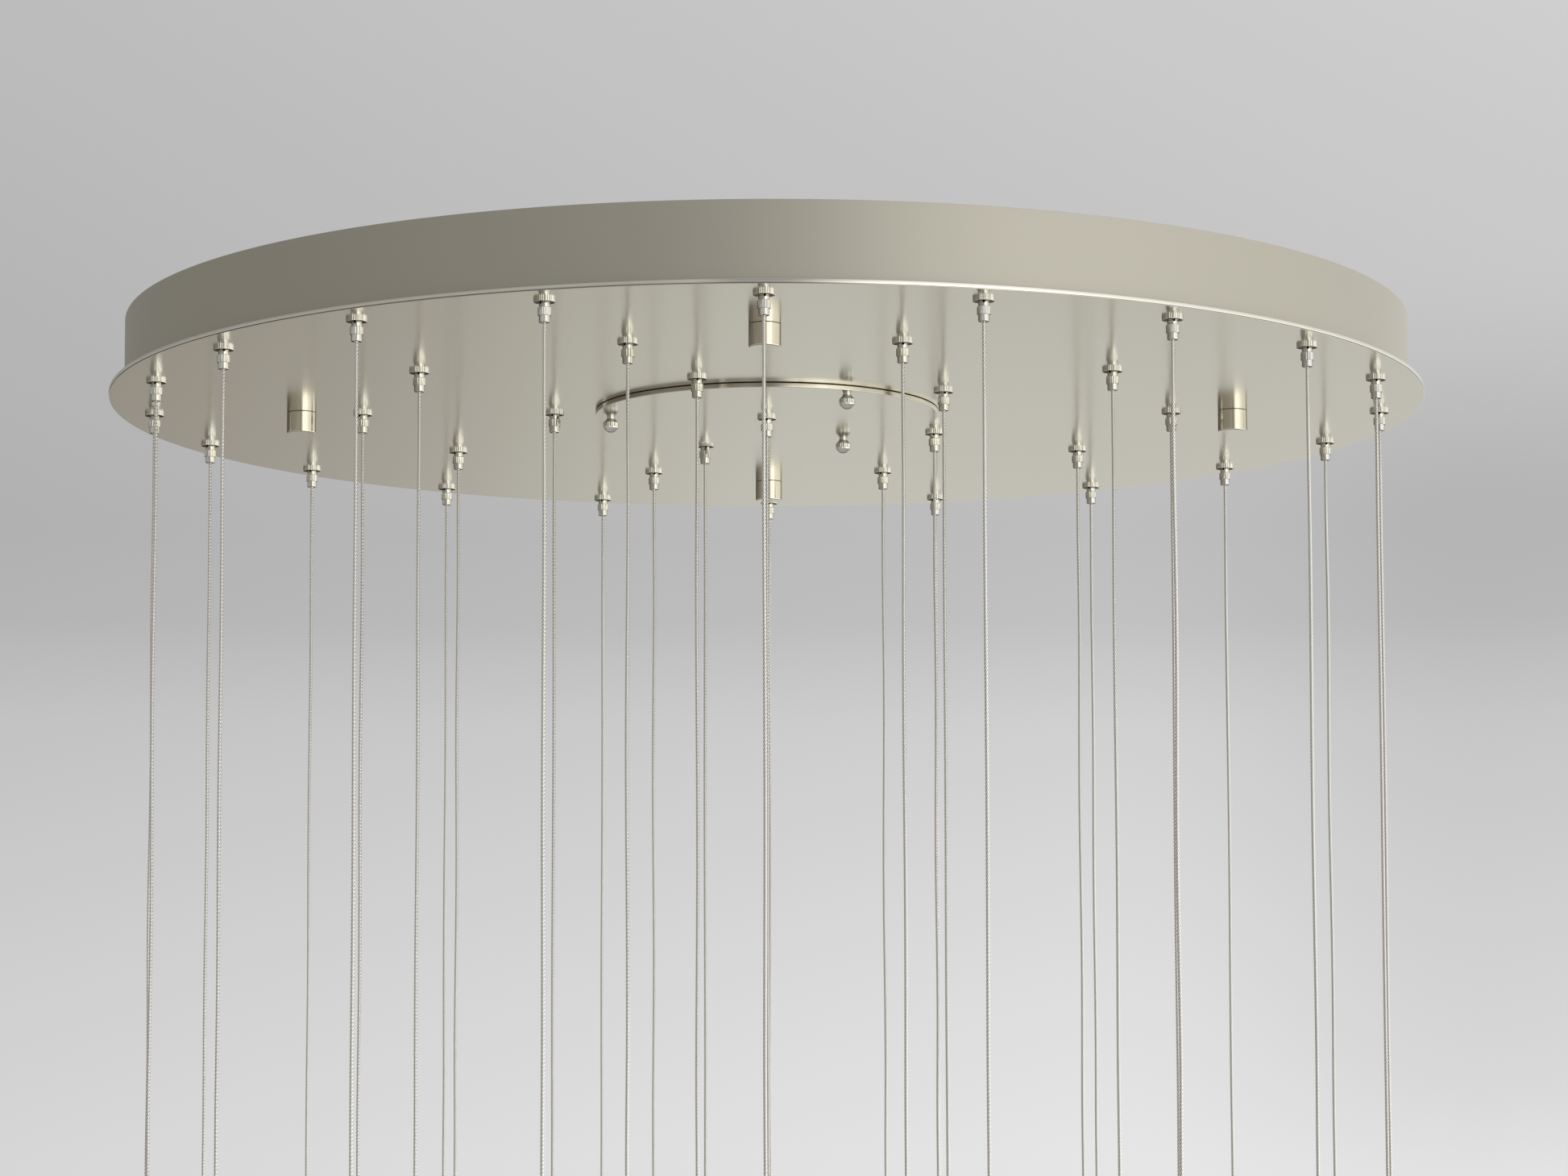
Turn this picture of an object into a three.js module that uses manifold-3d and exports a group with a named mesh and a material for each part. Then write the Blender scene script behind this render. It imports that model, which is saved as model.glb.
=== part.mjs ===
// Round ceiling canopy of a 36-cable chandelier, in millimetres.
// +Z is up. The origin is on the ceiling, on the canopy's axis. The viewer stands at -Y, below it.
import * as THREE from "three";
import { mergeVertices } from "three/addons/utils/BufferGeometryUtils.js";
import Module from "manifold-3d";

const wasm = await Module();
wasm.setup();

// Clearance between pieces that touch on the real object, and the overrun of every cut
const fitGap = 0.3;
const overrun = 1;

// Canopy shell: a flat cover plate with a hemmed rim, under a drum of rolled sheet
const plateRadius = 600;
const plateLip = 14;
const canopyHeight = 70;
const plateSheet = 2;
const rimHeight = 4;
const rimWidth = 8;
const drumWall = 1.5;
const drumFoot = 10;
const drumTopFlange = 12;
const drumRadius = plateRadius - plateLip;

// Three circles of cables and one cable on the axis
const cableInset = 21;
const circleRadius = drumRadius - cableInset;
const circleShares = [1, 0.66, 0.347];
const circleCounts = [20, 10, 5];
const circleStartTurns = [0, 0, 0.1];

// Steel backing rings, clamped between the plate and the grips' lock nuts
const ringWidth = 20;
const ringThickness = 3;

// Cable: a twisted steel rope with a swaged threaded end
const cableRadius = 1.6;
const cableDrop = 722;
const cableTravel = 30;
const tailClearance = 3;
const swageRadius = 3.3;
const swageLength = 20;
const studRadius = 2;
const studLength = 14;

// Cable grip, from the plate down: flange, neck, knurled nut, release sleeve
const flangeRadius = 8.75;
const flangeThickness = 2.4;
const neckRadius = 4.4;
const neckLength = 4.1;
const nutRadius = 5.45;
const nutLength = 6.5;
const sleeveRadius = 4.5;
const sleeveLength = 5.5;
const shankRadius = 5;
const lockNutRadius = 8;
const lockNutHeight = 5;

// Inside of the centre grip, the one that is taken apart
const spigotRadius = 3.4;
const spigotLength = 2.2;
const sleeveTravel = 2.4;
const nutCavityWall = 0.6;

// Access cover under the middle of the plate, with three thumb screws
const coverRadius = 158;
const coverThickness = 3;
const coverGap = 1.5;
const screwInset = 14;
const screwCount = 3;
const openingInset = 19;
const bossRadius = 6;
const screwRadius = 2;
const screwReach = 6;
const clinchRadius = 5;
const clinchHeight = 4;
const knobRadius = 7;
const knobHeight = 12;
const knobNeckRadius = 3.2;
const knobNeckLength = 2;
const knobRadiusShares = [0, 0.5, 0.86, 1, 1, 0.86];
const knobHeightShares = [0, 0, 0.17, 0.33, 0.67, 0.83];

// Ceiling cross, with four hanger rods and their cap nuts
const crossThickness = 5;
const armWidth = 40;
const armOverhang = 22;
const hubRadius = 80;
const anchorRadius = 4.5;
const anchorShares = [0.35, 0.7];
const supplyHoleRadius = 11;
const hangerShare = 0.76;
const rodRadius = 5;
const rodNutRadius = 8.5;
const rodNutHeight = 7;
const rodEngagement = 12;
const rodTopCover = 1;
const capRadius = 13.25;
const capHeight = 19;
const capChamfer = 0.8;
const capFloorGap = 1;

// Drivers and terminal block on the plate
const driverLength = 160;
const driverWidth = 52;
const driverHeight = 26;
const driverEar = 15;
const driverEarThickness = 2;
const terminalLength = 62;
const terminalWidth = 22;
const terminalHeight = 18;
const terminalWays = 6;
const terminalGrooveShare = 0.3;

// Numbers of sides
const shellSides = 80;
const coverSides = 48;
const ringSides = [60, 40, 30];
const nutSides = 16;
const knobSides = 12;
const smallSides = 8;

// Heights that follow from the sizes above
const plateUnder = -canopyHeight;
const plateTop = plateUnder + plateSheet;
const ringUnder = plateTop + fitGap;
const ringTop = ringUnder + ringThickness;
const coverTop = plateUnder - coverGap;
const coverUnder = coverTop - coverThickness;
const tailTop = -crossThickness - cableTravel - tailClearance;
const cableEnd = plateUnder - cableDrop;

// Radii that follow from the sizes above
const hangerRadius = circleRadius * hangerShare;
const screwCircle = coverRadius - screwInset;
const openingRadius = screwCircle - openingInset;
const bayRadius = (circleRadius * (circleShares[1] + circleShares[2])) / 2;

// Finishes
const finishes = {
  satinSheet: { color: 0xb9b4a2, roughness: 0.3, metalness: 1 },
  turned: { color: 0xc4c0b2, roughness: 0.25, metalness: 1 },
  warmTurned: { color: 0xc8c0a4, roughness: 0.28, metalness: 1 },
  rope: { color: 0xbdbab2, roughness: 0.35, metalness: 1 },
  zinc: { color: 0x9fa3a6, roughness: 0.45, metalness: 1 },
  driverCase: { color: 0xd8d9da, roughness: 0.5, metalness: 0.2 },
  terminal: { color: 0xe8e4da, roughness: 0.6, metalness: 0 },
};

const canopy = new THREE.Group();

// Adds a named piece with its own material to the canopy.
function piece(name, geometry, finish) {
  const material = new THREE.MeshStandardMaterial(finishes[finish]);
  const mesh = new THREE.Mesh(geometry, material);
  mesh.name = name;
  canopy.add(mesh);
  return mesh;
}

// Turns a profile of [radius, height] points about +Z.
function turned(profile, sides) {
  const points = profile.map(([radius, height]) => new THREE.Vector2(radius, height));
  const lathe = new THREE.LatheGeometry(points, sides);
  return lathe.rotateX(Math.PI / 2);
}

// A plain round bar about +Z, from one height to the other.
function bar(radius, low, high, sides) {
  return turned([[0, low], [radius, low], [radius, high], [0, high]], sides);
}

// The corner radius of a many-sided hole that clears a round pin by fitGap.
function holeRadius(pin, sides) {
  return (pin + fitGap) / Math.cos(Math.PI / sides);
}

// Merges a geometry's shared corners and drops the faces that have no area.
function welded(geometry) {
  const bare = geometry.clone();
  bare.deleteAttribute("normal");
  bare.deleteAttribute("uv");
  const merged = mergeVertices(bare);
  const corners = merged.index.array;
  const kept = [];
  for (let i = 0; i < corners.length; i += 3) {
    const [a, b, c] = corners.slice(i, i + 3);
    if (a !== b && b !== c && c !== a) {
      kept.push(a, b, c);
    }
  }
  merged.setIndex(kept);
  return merged;
}

// Makes a closed geometry a solid that can be joined and cut.
function solid(geometry) {
  const mesh = welded(geometry);
  const vertProperties = new Float32Array(mesh.getAttribute("position").array);
  const triVerts = new Uint32Array(mesh.index.array);
  return new wasm.Manifold(new wasm.Mesh({ numProp: 3, vertProperties, triVerts }));
}

// Gives a solid back as a geometry.
function shape(body) {
  const mesh = body.getMesh();
  const geometry = new THREE.BufferGeometry();
  geometry.setAttribute("position", new THREE.BufferAttribute(mesh.vertProperties, 3));
  geometry.setIndex(new THREE.BufferAttribute(mesh.triVerts, 1));
  geometry.computeVertexNormals();
  return geometry;
}

// Joins the additions to a geometry, then takes the cuts away.
function joined(geometry, additions, cuts) {
  let body = solid(geometry);
  for (const addition of additions) {
    body = body.add(solid(addition));
  }
  for (const cut of cuts) {
    body = body.subtract(solid(cut));
  }
  return shape(body);
}

// The places of a circle of pieces. The first lies startTurn of a turn from +X.
function circlePlaces(radius, count, startTurn) {
  return Array.from({ length: count }, (_, i) => {
    const angle = 2 * Math.PI * (startTurn + i / count);
    return [radius * Math.cos(angle), -radius * Math.sin(angle)];
  });
}

// Copies a geometry to each of the places.
function copiesAt(places, geometry) {
  return places.map(([x, y]) => geometry.clone().translate(x, y, 0));
}

const cablePlaces = circleShares.map((share, i) =>
  circlePlaces(circleRadius * share, circleCounts[i], circleStartTurns[i]));
const hangerPlaces = circlePlaces(hangerRadius, 4, 0);
const screwPlaces = circlePlaces(screwCircle, screwCount, 1 / 2);

// The heights of the pieces of a cable grip that hangs under a seat.
function gripHeights(seat) {
  const flangeTop = seat - fitGap;
  const flangeLow = flangeTop - flangeThickness;
  const neckLow = flangeLow - neckLength;
  const nutLow = neckLow - nutLength;
  const sleeveLow = nutLow - sleeveLength;
  return { flangeTop, flangeLow, neckLow, nutLow, sleeveLow };
}

// A whole cable grip whose flange lies under the seat and whose lock nut stands on clampTop.
function gripSolid(seat, clampTop) {
  const at = gripHeights(seat);
  const profile = [
    [0, at.sleeveLow],
    [sleeveRadius, at.sleeveLow],
    [sleeveRadius, at.nutLow],
    [nutRadius, at.nutLow],
    [nutRadius, at.neckLow],
    [neckRadius, at.neckLow],
    [neckRadius, at.flangeLow],
    [flangeRadius, at.flangeLow],
    [flangeRadius, at.flangeTop],
    [shankRadius, at.flangeTop],
    [shankRadius, clampTop],
    [lockNutRadius, clampTop],
    [lockNutRadius, clampTop + lockNutHeight],
    [0, clampTop + lockNutHeight],
  ];
  return turned(profile, smallSides);
}

// The flat ring of sheet that a circle of grips is clamped to, with its grips and their bores.
function backingRing(index) {
  const radius = circleRadius * circleShares[index];
  const inner = radius - ringWidth / 2;
  const outer = radius + ringWidth / 2;
  const profile = [
    [inner, ringUnder],
    [outer, ringUnder],
    [outer, ringTop],
    [inner, ringTop],
    [inner, ringUnder],
  ];
  const bore = bar(holeRadius(cableRadius, smallSides), cableEnd, 0, smallSides);
  const places = cablePlaces[index];
  const grips = copiesAt(places, gripSolid(plateUnder, ringTop));
  return joined(turned(profile, ringSides[index]), grips, copiesAt(places, bore));
}

// The cover plate: hemmed rim, hand opening, holes for grips, rods and screws, and three clinch nuts.
function coverPlate() {
  const hem = plateRadius - rimWidth;
  const profile = [
    [openingRadius, plateUnder],
    [plateRadius, plateUnder],
    [plateRadius, plateUnder + rimHeight],
    [hem, plateUnder + rimHeight],
    [hem, plateTop],
    [openingRadius, plateTop],
    [openingRadius, plateUnder],
  ];
  const low = plateUnder - overrun;
  const high = plateTop + overrun;
  const gripHole = bar(holeRadius(shankRadius, smallSides), low, high, smallSides);
  const rodHole = bar(holeRadius(rodRadius, smallSides), low, high, smallSides);
  const screwHole = bar(holeRadius(screwRadius, smallSides), low, high + clinchHeight, smallSides);
  const clinch = bar(clinchRadius, plateUnder + plateSheet / 2, plateTop + clinchHeight, smallSides);
  const cuts = [
    ...copiesAt(cablePlaces.flat(), gripHole),
    ...copiesAt(hangerPlaces, rodHole),
    ...copiesAt(screwPlaces, screwHole),
  ];
  return joined(turned(profile, shellSides), copiesAt(screwPlaces, clinch), cuts);
}

// The drum wall, with a foot on the plate and a flange against the ceiling.
function drum() {
  const foot = ringUnder;
  const inside = drumRadius - drumWall;
  const profile = [
    [drumRadius - drumFoot, foot],
    [drumRadius, foot],
    [drumRadius, 0],
    [drumRadius - drumTopFlange, 0],
    [drumRadius - drumTopFlange, -drumWall],
    [inside, -drumWall],
    [inside, foot + drumWall],
    [drumRadius - drumFoot, foot + drumWall],
    [drumRadius - drumFoot, foot],
  ];
  return turned(profile, shellSides);
}

// The round access cover, with a spacer boss at each screw.
function accessCover() {
  const disc = bar(coverRadius, coverUnder, coverTop, coverSides);
  const boss = bar(bossRadius, coverUnder + coverThickness / 2, plateUnder - fitGap, smallSides);
  const low = coverUnder - overrun;
  const screwHole = bar(holeRadius(screwRadius, smallSides), low, plateUnder, smallSides);
  const gripHole = bar(holeRadius(shankRadius, knobSides), low, plateUnder, knobSides);
  return joined(disc, copiesAt(screwPlaces, boss), [...copiesAt(screwPlaces, screwHole), gripHole]);
}

// A thumb screw: a knurled ball on a short neck, and a shank that runs up into its clinch nut.
function thumbScrew() {
  const tip = plateTop + screwReach;
  const neckTop = coverUnder - fitGap;
  const knobTop = neckTop - knobNeckLength;
  const knobLow = knobTop - knobHeight;
  const ball = knobRadiusShares.map((share, i) => {
    return [knobRadius * share, knobLow + knobHeight * knobHeightShares[i]];
  });
  const profile = [
    ...ball,
    [knobNeckRadius, knobTop],
    [knobNeckRadius, neckTop],
    [screwRadius, neckTop],
    [screwRadius, tip],
    [0, tip],
  ];
  return turned(profile, knobSides);
}

// The centre grip's body: flange, neck and spigot below the cover, shank and lock nut above it.
function centreGripBody() {
  const at = gripHeights(coverUnder);
  const clampTop = coverTop + fitGap;
  const spigotLow = at.neckLow - spigotLength;
  const profile = [
    [0, spigotLow],
    [spigotRadius, spigotLow],
    [spigotRadius, at.neckLow],
    [neckRadius, at.neckLow],
    [neckRadius, at.flangeLow],
    [flangeRadius, at.flangeLow],
    [flangeRadius, at.flangeTop],
    [shankRadius, at.flangeTop],
    [shankRadius, clampTop],
    [lockNutRadius, clampTop],
    [lockNutRadius, clampTop + lockNutHeight],
    [0, clampTop + lockNutHeight],
  ];
  const bore = bar(holeRadius(cableRadius, knobSides), cableEnd, 0, knobSides);
  return joined(turned(profile, knobSides), [], [bore]);
}

// The centre grip's knurled nut: it screws on the spigot, and its cavity holds the release sleeve.
function centreGripNut() {
  const at = gripHeights(coverUnder);
  const spigotHole = holeRadius(spigotRadius, knobSides);
  const cavity = nutRadius - nutCavityWall;
  const cavityTop = at.neckLow - spigotLength - fitGap;
  const profile = [
    [cavity, at.nutLow],
    [nutRadius, at.nutLow],
    [nutRadius, at.neckLow - fitGap],
    [spigotHole, at.neckLow - fitGap],
    [spigotHole, cavityTop],
    [cavity, cavityTop],
    [cavity, at.nutLow],
  ];
  return turned(profile, knobSides);
}

// The centre grip's release sleeve, which is pushed up into the nut to free the cable.
function centreGripSleeve() {
  const at = gripHeights(coverUnder);
  const bore = holeRadius(cableRadius, knobSides);
  const top = at.neckLow - spigotLength - 2 * fitGap - sleeveTravel;
  const outside = (nutRadius - nutCavityWall) * Math.cos(Math.PI / knobSides) - fitGap;
  const profile = [
    [bore, at.sleeveLow],
    [outside, at.sleeveLow],
    [outside, top],
    [bore, top],
    [bore, at.sleeveLow],
  ];
  return turned(profile, knobSides);
}

// A cable: its tail inside the canopy, the free rope, and the swaged stud that a pendant screws on.
function cable() {
  const swageLow = cableEnd - swageLength;
  const studLow = swageLow - studLength;
  const profile = [
    [0, studLow],
    [studRadius, studLow],
    [studRadius, swageLow],
    [swageRadius, swageLow],
    [swageRadius, cableEnd],
    [cableRadius, cableEnd],
    [cableRadius, tailTop],
    [0, tailTop],
  ];
  return turned(profile, smallSides);
}

// The cross that is screwed to the ceiling, with holes for anchors, the supply cable and the rods.
function ceilingCross() {
  const reach = hangerRadius + armOverhang;
  const half = armWidth / 2;
  const corners = [[reach, -half], [reach, half], [half, half]];
  const outline = [];
  for (let turn = 0; turn < 4; turn += 1) {
    for (const [x, y] of corners) {
      const corner = new THREE.Vector2(x, y);
      outline.push(corner.rotateAround(new THREE.Vector2(), (turn * Math.PI) / 2));
    }
  }
  const options = { depth: crossThickness, bevelEnabled: false };
  const arms = new THREE.ExtrudeGeometry(new THREE.Shape(outline), options).translate(0, 0, -crossThickness);
  const hub = bar(hubRadius, -crossThickness, 0, nutSides);
  const low = -crossThickness - overrun;
  const rodHole = bar(holeRadius(rodRadius, smallSides), low, overrun, smallSides);
  const anchorHole = bar(anchorRadius, low, overrun, smallSides);
  const supplyHole = bar(supplyHoleRadius, low, overrun, knobSides);
  const anchors = anchorShares.flatMap((share) => circlePlaces(hangerRadius * share, 4, 0));
  const supplyPlace = circlePlaces(hubRadius / 2, 1, 1 / 2);
  const cuts = [
    ...copiesAt(hangerPlaces, rodHole),
    ...copiesAt(anchors, anchorHole),
    ...copiesAt(supplyPlace, supplyHole),
  ];
  return joined(arms, [hub], cuts);
}

// A hanger rod, with a nut under the cross and a nut on the plate.
function hangerRod() {
  const crossNutTop = -crossThickness - fitGap;
  const plateNutLow = plateTop + fitGap;
  const profile = [
    [0, plateUnder - rodEngagement],
    [rodRadius, plateUnder - rodEngagement],
    [rodRadius, plateNutLow],
    [rodNutRadius, plateNutLow],
    [rodNutRadius, plateNutLow + rodNutHeight],
    [rodRadius, plateNutLow + rodNutHeight],
    [rodRadius, crossNutTop - rodNutHeight],
    [rodNutRadius, crossNutTop - rodNutHeight],
    [rodNutRadius, crossNutTop],
    [rodRadius, crossNutTop],
    [rodRadius, -rodTopCover],
    [0, -rodTopCover],
  ];
  return turned(profile, smallSides);
}

// A plain cap nut: a blind, chamfered cylinder under the plate.
function capNut() {
  const top = plateUnder - fitGap;
  const low = top - capHeight;
  const bore = holeRadius(rodRadius, nutSides);
  const boreEnd = plateUnder - rodEngagement - capFloorGap;
  const profile = [
    [0, low],
    [capRadius - capChamfer, low],
    [capRadius, low + capChamfer],
    [capRadius, top],
    [bore, top],
    [bore, boreEnd],
    [0, boreEnd],
  ];
  return turned(profile, nutSides);
}

// A driver: a long case with a fixing ear at each end.
function driver() {
  const half = driverLength / 2;
  const ear = half + driverEar;
  const points = [
    [-ear, 0],
    [ear, 0],
    [ear, driverEarThickness],
    [half, driverEarThickness],
    [half, driverHeight],
    [-half, driverHeight],
    [-half, driverEarThickness],
    [-ear, driverEarThickness],
  ];
  return standing(points, driverWidth);
}

// A terminal block: a bar with a groove between its ways.
function terminalBlock() {
  const pitch = terminalLength / terminalWays;
  const groove = pitch * terminalGrooveShare;
  const floor = terminalHeight / 2;
  const points = [[-terminalLength / 2, 0], [terminalLength / 2, 0], [terminalLength / 2, terminalHeight]];
  for (let way = terminalWays - 1; way > 0; way -= 1) {
    const centre = way * pitch - terminalLength / 2;
    points.push([centre + groove / 2, terminalHeight], [centre + groove / 2, floor]);
    points.push([centre - groove / 2, floor], [centre - groove / 2, terminalHeight]);
  }
  points.push([-terminalLength / 2, terminalHeight]);
  return standing(points, terminalWidth);
}

// Extrudes an outline of [x, z] points along Y, centred on the axis.
function standing(points, width) {
  const outline = new THREE.Shape(points.map(([x, z]) => new THREE.Vector2(x, z)));
  const extruded = new THREE.ExtrudeGeometry(outline, { depth: width, bevelEnabled: false });
  return extruded.rotateX(Math.PI / 2).translate(0, width / 2, 0);
}

piece("cover_plate", coverPlate(), "satinSheet");
piece("drum_wall", drum(), "satinSheet");
piece("outer_backing_ring", backingRing(0), "turned");
piece("middle_backing_ring", backingRing(1), "turned");
piece("inner_backing_ring", backingRing(2), "turned");
piece("access_cover", accessCover(), "satinSheet");
piece("centre_grip_body", centreGripBody(), "turned");
piece("centre_grip_nut", centreGripNut(), "turned");
piece("centre_grip_sleeve", centreGripSleeve(), "turned");
piece("ceiling_cross", ceilingCross(), "zinc");

// Screws, rods and cap nuts are named for the side that they lie on, seen from below.
["left", "far", "near"].forEach((side, i) => {
  const [x, y] = screwPlaces[i];
  piece(`thumb_screw_${side}`, thumbScrew(), "turned").position.set(x, y, 0);
});

["right", "near", "left", "far"].forEach((side, i) => {
  const [x, y] = hangerPlaces[i];
  piece(`hanger_rod_${side}`, hangerRod(), "zinc").position.set(x, y, 0);
  piece(`cap_nut_${side}`, capNut(), "warmTurned").position.set(x, y, 0);
});

piece("driver_far", driver(), "driverCase").position.set(0, bayRadius, ringUnder);
piece("driver_near", driver(), "driverCase").position.set(0, -bayRadius, ringUnder);
piece("terminal_block", terminalBlock(), "terminal").position.set(-bayRadius, 0, ringUnder);

// The cables are numbered by circle, from the right and towards the viewer, and the last is the centre one.
[...cablePlaces.flat(), [0, 0]].forEach(([x, y], i) => {
  const number = String(i + 1).padStart(2, "0");
  piece(`cable_${number}`, cable(), "rope").position.set(x, y, 0);
});

export default canopy;
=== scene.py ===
# %% [markdown]
# # A round ceiling canopy that carries 36 cables
# The object is the upper part of a chandelier: a wide, flat canopy in satin champagne nickel, and
# 36 steel ropes that hang from it on three circles and one in the middle. A small turned grip holds
# each rope. The script dresses the imported frame: places and heights are read from it, and nearly
# every surface is modelled again as finely as the eye sees it.

# %% Load the frame
import math
import random

import bmesh
import bpy
from mathutils import Matrix, Vector


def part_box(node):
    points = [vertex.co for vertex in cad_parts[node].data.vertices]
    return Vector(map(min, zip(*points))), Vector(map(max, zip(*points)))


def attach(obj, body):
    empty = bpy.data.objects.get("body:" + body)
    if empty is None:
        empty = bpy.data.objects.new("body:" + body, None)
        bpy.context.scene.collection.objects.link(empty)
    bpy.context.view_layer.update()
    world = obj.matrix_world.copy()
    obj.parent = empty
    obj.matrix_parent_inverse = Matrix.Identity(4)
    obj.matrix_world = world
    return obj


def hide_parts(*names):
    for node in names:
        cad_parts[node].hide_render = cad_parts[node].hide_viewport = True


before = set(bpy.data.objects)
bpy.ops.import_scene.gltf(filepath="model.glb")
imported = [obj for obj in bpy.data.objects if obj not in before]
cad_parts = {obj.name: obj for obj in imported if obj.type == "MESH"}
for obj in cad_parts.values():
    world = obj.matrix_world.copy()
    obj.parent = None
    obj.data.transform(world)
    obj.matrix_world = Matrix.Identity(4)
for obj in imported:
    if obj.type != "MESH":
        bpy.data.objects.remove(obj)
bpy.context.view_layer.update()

MM = 0.001
WELD = 0.002 * MM

# %% [markdown]
# ## Camera
# The camera stands almost four metres from the canopy and well below it, and looks up through a long
# lens. Tilting it further up would make the cables lean together at the top. The picture is moved up
# on the sensor instead, as a shift lens does it, so the cables stay nearly parallel.

# %% Camera
SENSOR_WIDTH = 36
LENS = 96.3
SHIFT_UP = 0.10
CAMERA_PLACE = Vector((15, -3828, -718)) * MM
CAMERA_PITCH = math.radians(5.07)
CAMERA_ROLL = math.radians(-0.13)
FARTHEST_SEEN = 200

camera_data = bpy.data.cameras.new("photo_camera")
camera_data.sensor_width = SENSOR_WIDTH
camera_data.lens = LENS
camera_data.shift_y = SHIFT_UP
camera_data.clip_end = FARTHEST_SEEN
camera = bpy.data.objects.new("photo_camera", camera_data)
level = Matrix.Rotation(math.pi / 2 + CAMERA_PITCH, 4, "X")
camera.matrix_world = Matrix.Translation(CAMERA_PLACE) @ level @ Matrix.Rotation(CAMERA_ROLL, 4, "Z")
bpy.context.scene.collection.objects.link(camera)
bpy.context.scene.camera = camera
bpy.context.scene.view_settings.view_transform = "Standard"
print("camera", [round(x, 3) for x in CAMERA_PLACE], "lens", LENS)

# %% [markdown]
# ## Node and colour helpers
# Materials and the room are made of shader nodes. One helper adds a node of any kind, sets what it
# is given and draws the links, so a material reads as a list of its nodes. Another starts a material.
# Colours are written as the hex values seen on a screen, and one function turns them into the linear
# values a shader needs.

# %% Node and colour helpers
# A Mix node has a pair of inputs for each kind of value, and they are told apart by their places.
VECTOR_A, VECTOR_B, VECTOR_OUT = 4, 5, 1
COLOUR_A, COLOUR_B, COLOUR_OUT = 6, 7, 2


def add_node(tree, kind, settings=None, inputs=None):
    """Adds a node. settings are its own properties, and inputs are values or sockets to link from."""
    made = tree.nodes.new(kind)
    for name, value in (settings or {}).items():
        setattr(made, name, value)
    for name, value in (inputs or {}).items():
        if isinstance(value, bpy.types.NodeSocket):
            tree.links.new(value, made.inputs[name])
        else:
            made.inputs[name].default_value = value
    return made


def new_finish(name):
    """A new material and its shader."""
    finish = bpy.data.materials.new(name)
    finish.use_nodes = True
    return finish, finish.node_tree.nodes["Principled BSDF"]


def linear(hex_colour):
    """The linear red, green, blue and alpha of an sRGB colour such as #bcb8ac."""
    shares = [int(hex_colour[i:i + 2], 16) / 255 for i in (1, 3, 5)]
    return [c / 12.92 if c <= 0.04045 else ((c + 0.055) / 1.055) ** 2.4 for c in shares] + [1]


def light_of(level, green=1.0, blue=1.0):
    """The linear colour of light of a level. Less green and blue than red makes it warm."""
    return [level, level * green, level * blue, 1]


# %% [markdown]
# ## The room and its light
# Metal shows nothing but its surroundings, so the room is the most important light here. It could be
# built from walls and many lamps. A world that changes softly with direction is calmer and renders
# without grain: darker and warmer on the left, brighter on the right, and palest low down in front.
# It is made of a few ramps along the axes of the direction, multiplied together. What is seen past
# the object is always the part straight ahead, so the backdrop is the same pale grey from every side.

# %% The room's ramps
world = bpy.data.worlds.new("pale_room")
bpy.context.scene.world = world
world.use_nodes = True
room = world.node_tree
room.nodes.clear()
direction = add_node(room, "ShaderNodeTexCoord")
real_axes = add_node(room, "ShaderNodeSeparateXYZ", inputs={"Vector": direction.outputs["Generated"]})

BACKDROP_REACH = 0.2
backdrop_side = add_node(room, "ShaderNodeClamp", inputs={
    "Value": real_axes.outputs["X"], "Min": -BACKDROP_REACH, "Max": BACKDROP_REACH})
backdrop = add_node(room, "ShaderNodeCombineXYZ", inputs={
    "X": backdrop_side.outputs["Result"], "Y": 1.0, "Z": real_axes.outputs["Z"]})
light_path = add_node(room, "ShaderNodeLightPath")
room_or_backdrop = add_node(room, "ShaderNodeMix", {"data_type": "VECTOR"}, {
    "Factor": light_path.outputs["Is Camera Ray"],
    VECTOR_A: direction.outputs["Generated"], VECTOR_B: backdrop.outputs["Vector"]})
axes = add_node(room, "ShaderNodeSeparateXYZ", inputs={"Vector": room_or_backdrop.outputs[VECTOR_OUT]})


def ramp_along(axis, reach, stops):
    """Light that changes along one axis of the direction. stops are (place, light), up to reach."""
    place = add_node(room, "ShaderNodeMapRange", inputs={
        "Value": axes.outputs[axis], "From Min": -reach, "From Max": reach})
    ramp = add_node(room, "ShaderNodeValToRGB", inputs={"Fac": place.outputs["Result"]})
    while len(ramp.color_ramp.elements) < len(stops):
        ramp.color_ramp.elements.new(1)
    for element, (at, light) in zip(ramp.color_ramp.elements, stops):
        element.position = (at + reach) / (2 * reach)
        element.color = light
    return ramp.outputs["Color"]


side_light = ramp_along("X", 1.0, [
    (-1.0, light_of(0.39, 0.99, 0.97)),
    (-0.6, light_of(0.455, 0.995, 0.975)),
    (-0.3, light_of(0.44, 0.995, 0.98)),
    (-0.2, light_of(0.56)),
    (0.0, light_of(0.635)),
    (0.2, light_of(0.71)),
    (0.36, light_of(1.10)),
    (0.7, light_of(1.10)),
    (1.0, light_of(0.96)),
])
height_light = ramp_along("Z", 0.5, [
    (-0.5, light_of(0.50)),
    (-0.2, light_of(0.72)),
    (-0.01, light_of(0.735)),
    (0.036, light_of(0.675)),
    (0.093, light_of(0.59)),
    (0.110, light_of(0.53)),
    (0.116, light_of(0.50)),
    (0.138, light_of(0.478)),
    (0.26, light_of(0.55)),
    (0.5, light_of(0.56)),
])
low_ahead = ramp_along("X", 0.5, [
    (-0.35, light_of(0.42, 0.92, 0.88)),
    (-0.14, light_of(0.70, 0.95, 0.91)),
    (-0.09, light_of(0.79, 0.965, 0.94)),
    (-0.04, light_of(0.97, 1.0, 0.98)),
    (0.0, light_of(1.07)),
    (0.12, light_of(1.0)),
])
low_behind = ramp_along("X", 1.0, [
    (-0.5, light_of(0.62, 0.98, 0.95)),
    (0.0, light_of(0.82)),
    (0.14, light_of(1.0)),
    (0.3, light_of(1.5)),
    (0.6, light_of(1.4)),
    (1.0, light_of(0.95)),
])
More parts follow.
